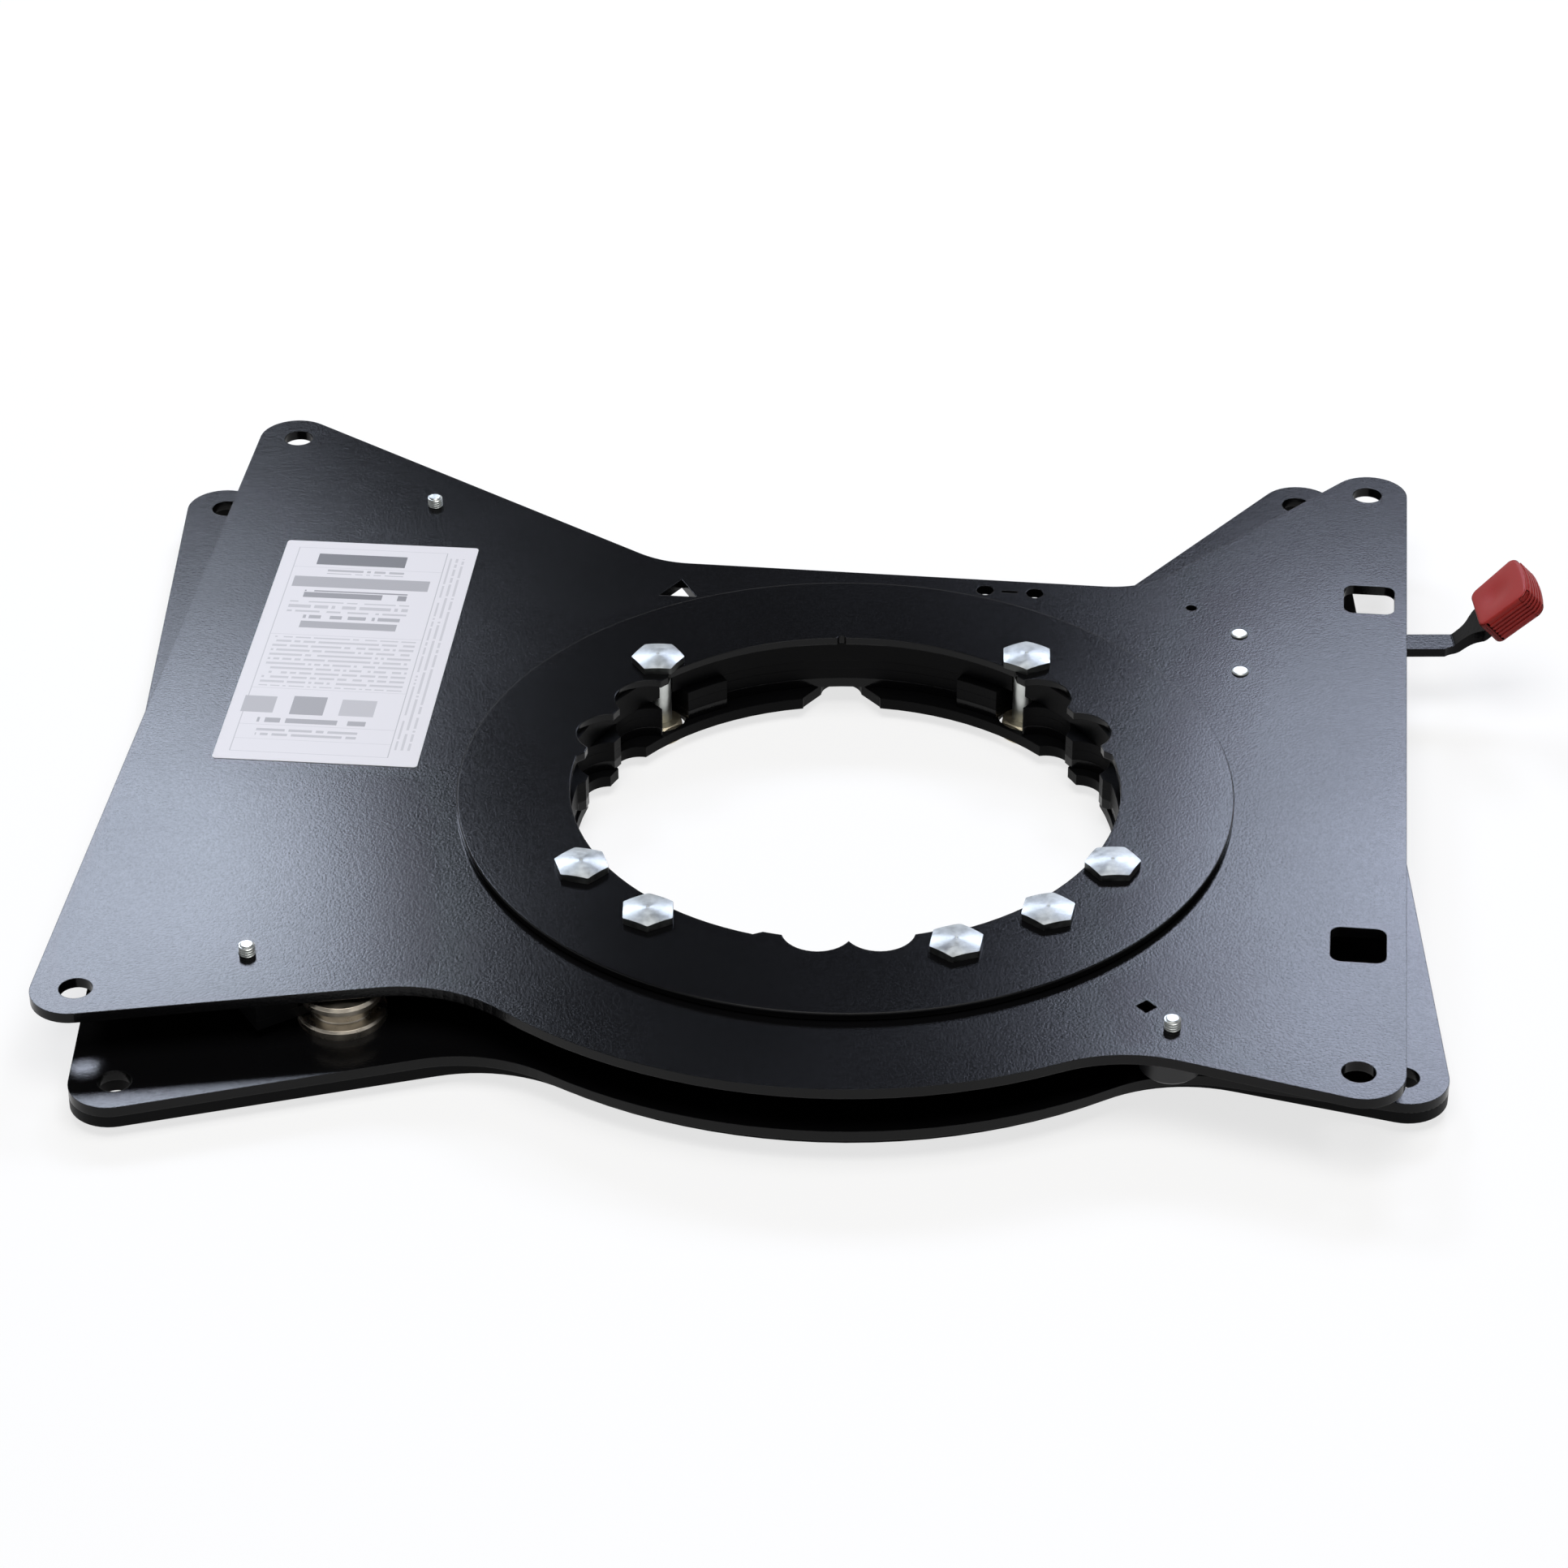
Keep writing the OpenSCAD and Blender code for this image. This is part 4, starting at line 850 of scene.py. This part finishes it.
class SWIVEL_OT_threads(bpy.types.Operator):
    """Makes the three screws whose threaded ends stand above the upper plate"""
    bl_idname = "swivel.threads"
    bl_label = "Threaded screws"

    def execute(self, context):
        s = context.scene.swivel_sizes
        zinc = bpy.data.materials["bright_zinc"]
        for node in ("claw_screw", "rear_pad_screw", "front_pad_screw"):
            low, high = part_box(node)
            axis = (Vector(low) + Vector(high)) / 2
            shank = self.shank(node + "_turned", axis, low[2], high[2], s.thread_depth)
            thread = self.thread(axis, high[2], s.thread_pitch, s.thread_depth)
            none_selected()
            thread.select_set(True)
            shank.select_set(True)
            context.view_layer.objects.active = shank
            bpy.ops.object.join()
            finish_piece(shank, zinc, "swivel", node)
            bpy.ops.object.shade_smooth_by_angle(angle=math.radians(28))
        return {"FINISHED"}

    def shank(self, name, axis, low, top, depth):
        """Button head with a hexagon recess below, then a shank that is thinner inside the thread."""
        core = SCREW_SHANK - depth
        under_head, runout = low + SCREW_HEAD_HEIGHT, top - SCREW_THREAD
        steps = [(SCREW_HEAD, low + 0.0016), (SCREW_HEAD, under_head), (SCREW_SHANK, under_head),
                 (SCREW_SHANK, runout), (core, top - 0.0114), (core, top - 0.0004), (core - 0.0004, top)]
        none_selected()
        radius, height = 0.0032, low
        at = (axis.x, axis.y, low)
        bpy.ops.mesh.primitive_circle_add(vertices=36, radius=radius, fill_type="NGON", location=at)
        o = name_new(name)
        bpy.ops.object.transform_apply(location=True)
        bpy.ops.object.mode_set(mode="EDIT")
        bpy.ops.mesh.select_all(action="SELECT")
        for r, z in steps:
            bpy.ops.mesh.extrude_region_move(TRANSFORM_OT_translate={"value": (0, 0, z - height)})
            share = r / radius
            bpy.ops.transform.resize(value=(share, share, 1), center_override=(axis.x, axis.y, z))
            radius, height = r, z
        bpy.ops.object.mode_set(mode="OBJECT")
        none_selected()
        bpy.ops.mesh.primitive_cylinder_add(vertices=6, radius=SCREW_RECESS, depth=0.0036, location=at)
        cutter = name_new("hex_cutter")
        cut = o.modifiers.new("recess", "BOOLEAN")
        cut.operation = "DIFFERENCE"
        cut.solver = "EXACT"
        cut.object = cutter
        none_selected()
        o.select_set(True)
        bpy.context.view_layer.objects.active = o
        bpy.ops.object.modifier_apply(modifier=cut.name)
        bpy.data.objects.remove(cutter, do_unlink=True)
        return o

    def thread(self, axis, top, pitch, depth):
        """One tooth of the thread, wound up the shank."""
        start = top - THREAD_END - SCREW_TURNS * pitch
        none_selected()
        bpy.ops.mesh.primitive_plane_add(size=1, rotation=(math.radians(90), 0, 0), location=(0, 0, 0))
        o = name_new("thread")
        bpy.ops.object.transform_apply(rotation=True)
        bpy.ops.object.mode_set(mode="EDIT")
        bpy.ops.mesh.select_all(action="SELECT")
        bpy.ops.mesh.delete(type="ONLY_FACE")
        pick(o, "EDGE", lambda e: all(o.data.vertices[i].co.x < 0 for i in e.vertices))
        bpy.ops.mesh.delete(type="EDGE")
        pick(o, "VERT", lambda v: v.co.x > 0)
        bpy.ops.transform.resize(value=(1, 1, 0.25), center_override=(0, 0, 0))
        bpy.ops.mesh.select_all(action="SELECT")
        bpy.ops.transform.resize(value=(depth, 1, pitch), center_override=(0, 0, 0))
        bpy.ops.transform.translate(value=(SCREW_SHANK - depth / 2, 0, 0))
        bpy.ops.object.mode_set(mode="OBJECT")
        wind = o.modifiers.new("wind", "SCREW")
        wind.axis = "Z"
        wind.steps = wind.render_steps = 24
        wind.screw_offset = pitch
        wind.iterations = SCREW_TURNS + 2
        wind.use_merge_vertices = True
        bpy.ops.object.modifier_apply(modifier=wind.name)
        o.location = (axis.x, axis.y, start - pitch / 2)
        bpy.ops.object.transform_apply(location=True)
        bpy.ops.object.mode_set(mode="EDIT")
        bpy.ops.mesh.select_all(action="SELECT")
        bpy.ops.mesh.remove_doubles(threshold=1e-6)
        bpy.ops.mesh.bisect(plane_co=(0, 0, start + pitch / 2), plane_no=(0, 0, 1),
                            use_fill=True, clear_inner=True)
        bpy.ops.mesh.select_all(action="SELECT")
        bpy.ops.mesh.bisect(plane_co=(0, 0, top - THREAD_END), plane_no=(0, 0, 1),
                            use_fill=True, clear_outer=True)
        bpy.ops.object.mode_set(mode="OBJECT")
        return o


class SWIVEL_OT_bolts(bpy.types.Operator):
    """Makes the seven bolts of the clamp ring, with domed heads faced on a lathe"""
    bl_idname = "swivel.bolts"
    bl_label = "Ring bolts"

    def execute(self, context):
        s = context.scene.swivel_sizes
        bolt = self.bolt(s.head_width, s.head_dome)
        made = []
        for angle, turn in BOLTS:
            none_selected()
            bolt.select_set(True)
            context.view_layer.objects.active = bolt
            bpy.ops.object.duplicate()
            copy = context.object
            copy.rotation_euler = (0, 0, math.radians(turn))
            a = math.radians(angle)
            copy.location = (SWIVEL_AXIS[0] + BOLT_CIRCLE * math.cos(a),
                             SWIVEL_AXIS[1] + BOLT_CIRCLE * math.sin(a), 0)
            made.append(copy)
        bpy.data.objects.remove(bolt, do_unlink=True)
        none_selected()
        for o in made:
            o.select_set(True)
        context.view_layer.objects.active = made[0]
        bpy.ops.object.join()
        o = name_new("ring_bolts")
        zinc = context.scene.swivel_finishes.zinc
        faced = lathed("lathed_zinc", tuple(c * 0.74 for c in zinc))
        finish_piece(o, faced, "base", "clamp_bolts")
        o.data.materials.append(plated("shank_zinc", tuple(zinc), 0.38, patch=0.006))
        for face in o.data.polygons:
            face.material_index = int(face.center.z < BOLT_SEAT - 0.0002)
        bpy.ops.object.shade_smooth_by_angle(angle=math.radians(24))
        return {"FINISHED"}

    def bolt(self, width, dome):
        """One bolt on the Z axis: hexagon head cut by a large ball, a centre mark and a plain shank."""
        low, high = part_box("clamp_bolts")
        seat, top = BOLT_SEAT, high[2]
        none_selected()
        corner = width / 2 / math.cos(math.pi / 6)
        bpy.ops.mesh.primitive_cylinder_add(vertices=6, radius=corner, depth=top - seat,
                                            location=(0, 0, (top + seat) / 2), rotation=(0, 0, math.pi / 6))
        o = name_new("bolt")
        bpy.ops.object.transform_apply(location=True, rotation=True)
        bpy.ops.object.mode_set(mode="EDIT")

        def upright(e):
            a, b = (o.data.vertices[i].co for i in e.vertices)
            return abs(a.z - b.z) > 0.001
        pick(o, "EDGE", upright)
        bpy.ops.mesh.bevel(offset=HEAD_CORNER, segments=3, affect="EDGES")
        bpy.ops.object.mode_set(mode="OBJECT")
        self.cut(o, "INTERSECT", "ball", dome, (0, 0, top - dome), 144, 128)
        self.cut(o, "DIFFERENCE", "mark", MARK_RADIUS, (0, 0, top + MARK_HEIGHT), 24, 16)
        none_selected()
        into = seat + 0.001  # the shank ends inside the head, and the two are joined there
        bpy.ops.mesh.primitive_cylinder_add(vertices=40, radius=BOLT_SHANK, depth=into - low[2],
                                            location=(0, 0, (into + low[2]) / 2))
        shank = name_new("shank")
        bpy.ops.object.transform_apply(location=True)
        bpy.ops.object.mode_set(mode="EDIT")

        def tip(e):
            return all(shank.data.vertices[i].co.z < low[2] + 1e-5 for i in e.vertices)
        pick(shank, "EDGE", tip)
        bpy.ops.mesh.bevel(offset=SHANK_CHAMFER, segments=2, affect="EDGES")
        bpy.ops.object.mode_set(mode="OBJECT")
        self.join_shape(o, "UNION", shank)
        self.polar_map(o)
        return o

    def cut(self, o, operation, name, radius, at, around, rings):
        """Shapes a piece with a ball."""
        none_selected()
        bpy.ops.mesh.primitive_uv_sphere_add(segments=around, ring_count=rings, radius=radius, location=at)
        self.join_shape(o, operation, name_new(name))

    def join_shape(self, o, operation, other):
        """Joins another shape to a piece, cuts it off or keeps what both hold, and removes the other."""
        step = o.modifiers.new("shape", "BOOLEAN")
        step.operation = operation
        step.solver = "EXACT"
        step.object = other
        none_selected()
        o.select_set(True)
        bpy.context.view_layer.objects.active = o
        bpy.ops.object.modifier_apply(modifier=step.name)
        bpy.data.objects.remove(other, do_unlink=True)

    def polar_map(self, o):
        """UV map with the distance from the axis as U and the angle as V, for the lathe marks."""
        mesh = o.data
        for layer in list(mesh.uv_layers):
            mesh.uv_layers.remove(layer)
        layer = mesh.uv_layers.new(name=LATHE_MAP)
        for face in mesh.polygons:
            mid = math.atan2(face.center.y, face.center.x)
            for loop in face.loop_indices:
                x, y, z = mesh.vertices[mesh.loops[loop].vertex_index].co
                r = math.hypot(x, y)
                turn = (math.atan2(y, x) - mid + math.pi) % (2 * math.pi) - math.pi
                turn = turn if r > 1e-6 else 0.0
                layer.data[loop].uv = (r * MAP_U, mid + turn + z * MAP_V)


class SWIVEL_PT_panel(bpy.types.Panel):
    """Lists the pieces of the swivel seat base"""
    bl_idname = "SWIVEL_PT_panel"
    bl_label = "Swivel base"
    bl_space_type = "VIEW_3D"
    bl_region_type = "UI"
    bl_category = "Swivel base"

    def draw(self, context):
        for op in OPERATORS:
            self.layout.operator(op.bl_idname)
        for group in ("swivel_studio", "swivel_finishes", "swivel_sizes"):
            settings = getattr(context.scene, group)
            for key in settings.bl_rna.properties.keys():
                if key not in ("rna_type", "name"):
                    self.layout.prop(settings, key)


OPERATORS = [SWIVEL_OT_studio, SWIVEL_OT_sheets, SWIVEL_OT_metal, SWIVEL_OT_plastic, SWIVEL_OT_label,
             SWIVEL_OT_grip, SWIVEL_OT_threads, SWIVEL_OT_bolts]
CLASSES = [SwivelStudio, SwivelFinishes, SwivelSizes, *OPERATORS, SWIVEL_PT_panel]


def register():
    for c in CLASSES:
        bpy.utils.register_class(c)
    bpy.types.Scene.swivel_studio = bpy.props.PointerProperty(type=SwivelStudio)
    bpy.types.Scene.swivel_finishes = bpy.props.PointerProperty(type=SwivelFinishes)
    bpy.types.Scene.swivel_sizes = bpy.props.PointerProperty(type=SwivelSizes)


def unregister():
    for key in ("swivel_studio", "swivel_finishes", "swivel_sizes"):
        delattr(bpy.types.Scene, key)
    for c in reversed(CLASSES):
        bpy.utils.unregister_class(c)


def main():
    register()
    build_orange_peel()
    build_plating()
    build_painted_side_shade()
    build_field()
    build_rows()
    bpy.ops.swivel.studio()
    bpy.ops.swivel.sheets()
    bpy.ops.swivel.metal()
    bpy.ops.swivel.plastic()
    bpy.ops.swivel.label()
    bpy.ops.swivel.grip()
    bpy.ops.swivel.threads()
    bpy.ops.swivel.bolts()
    bpy.context.view_layer.update()


if __name__ == "__main__":
    main()
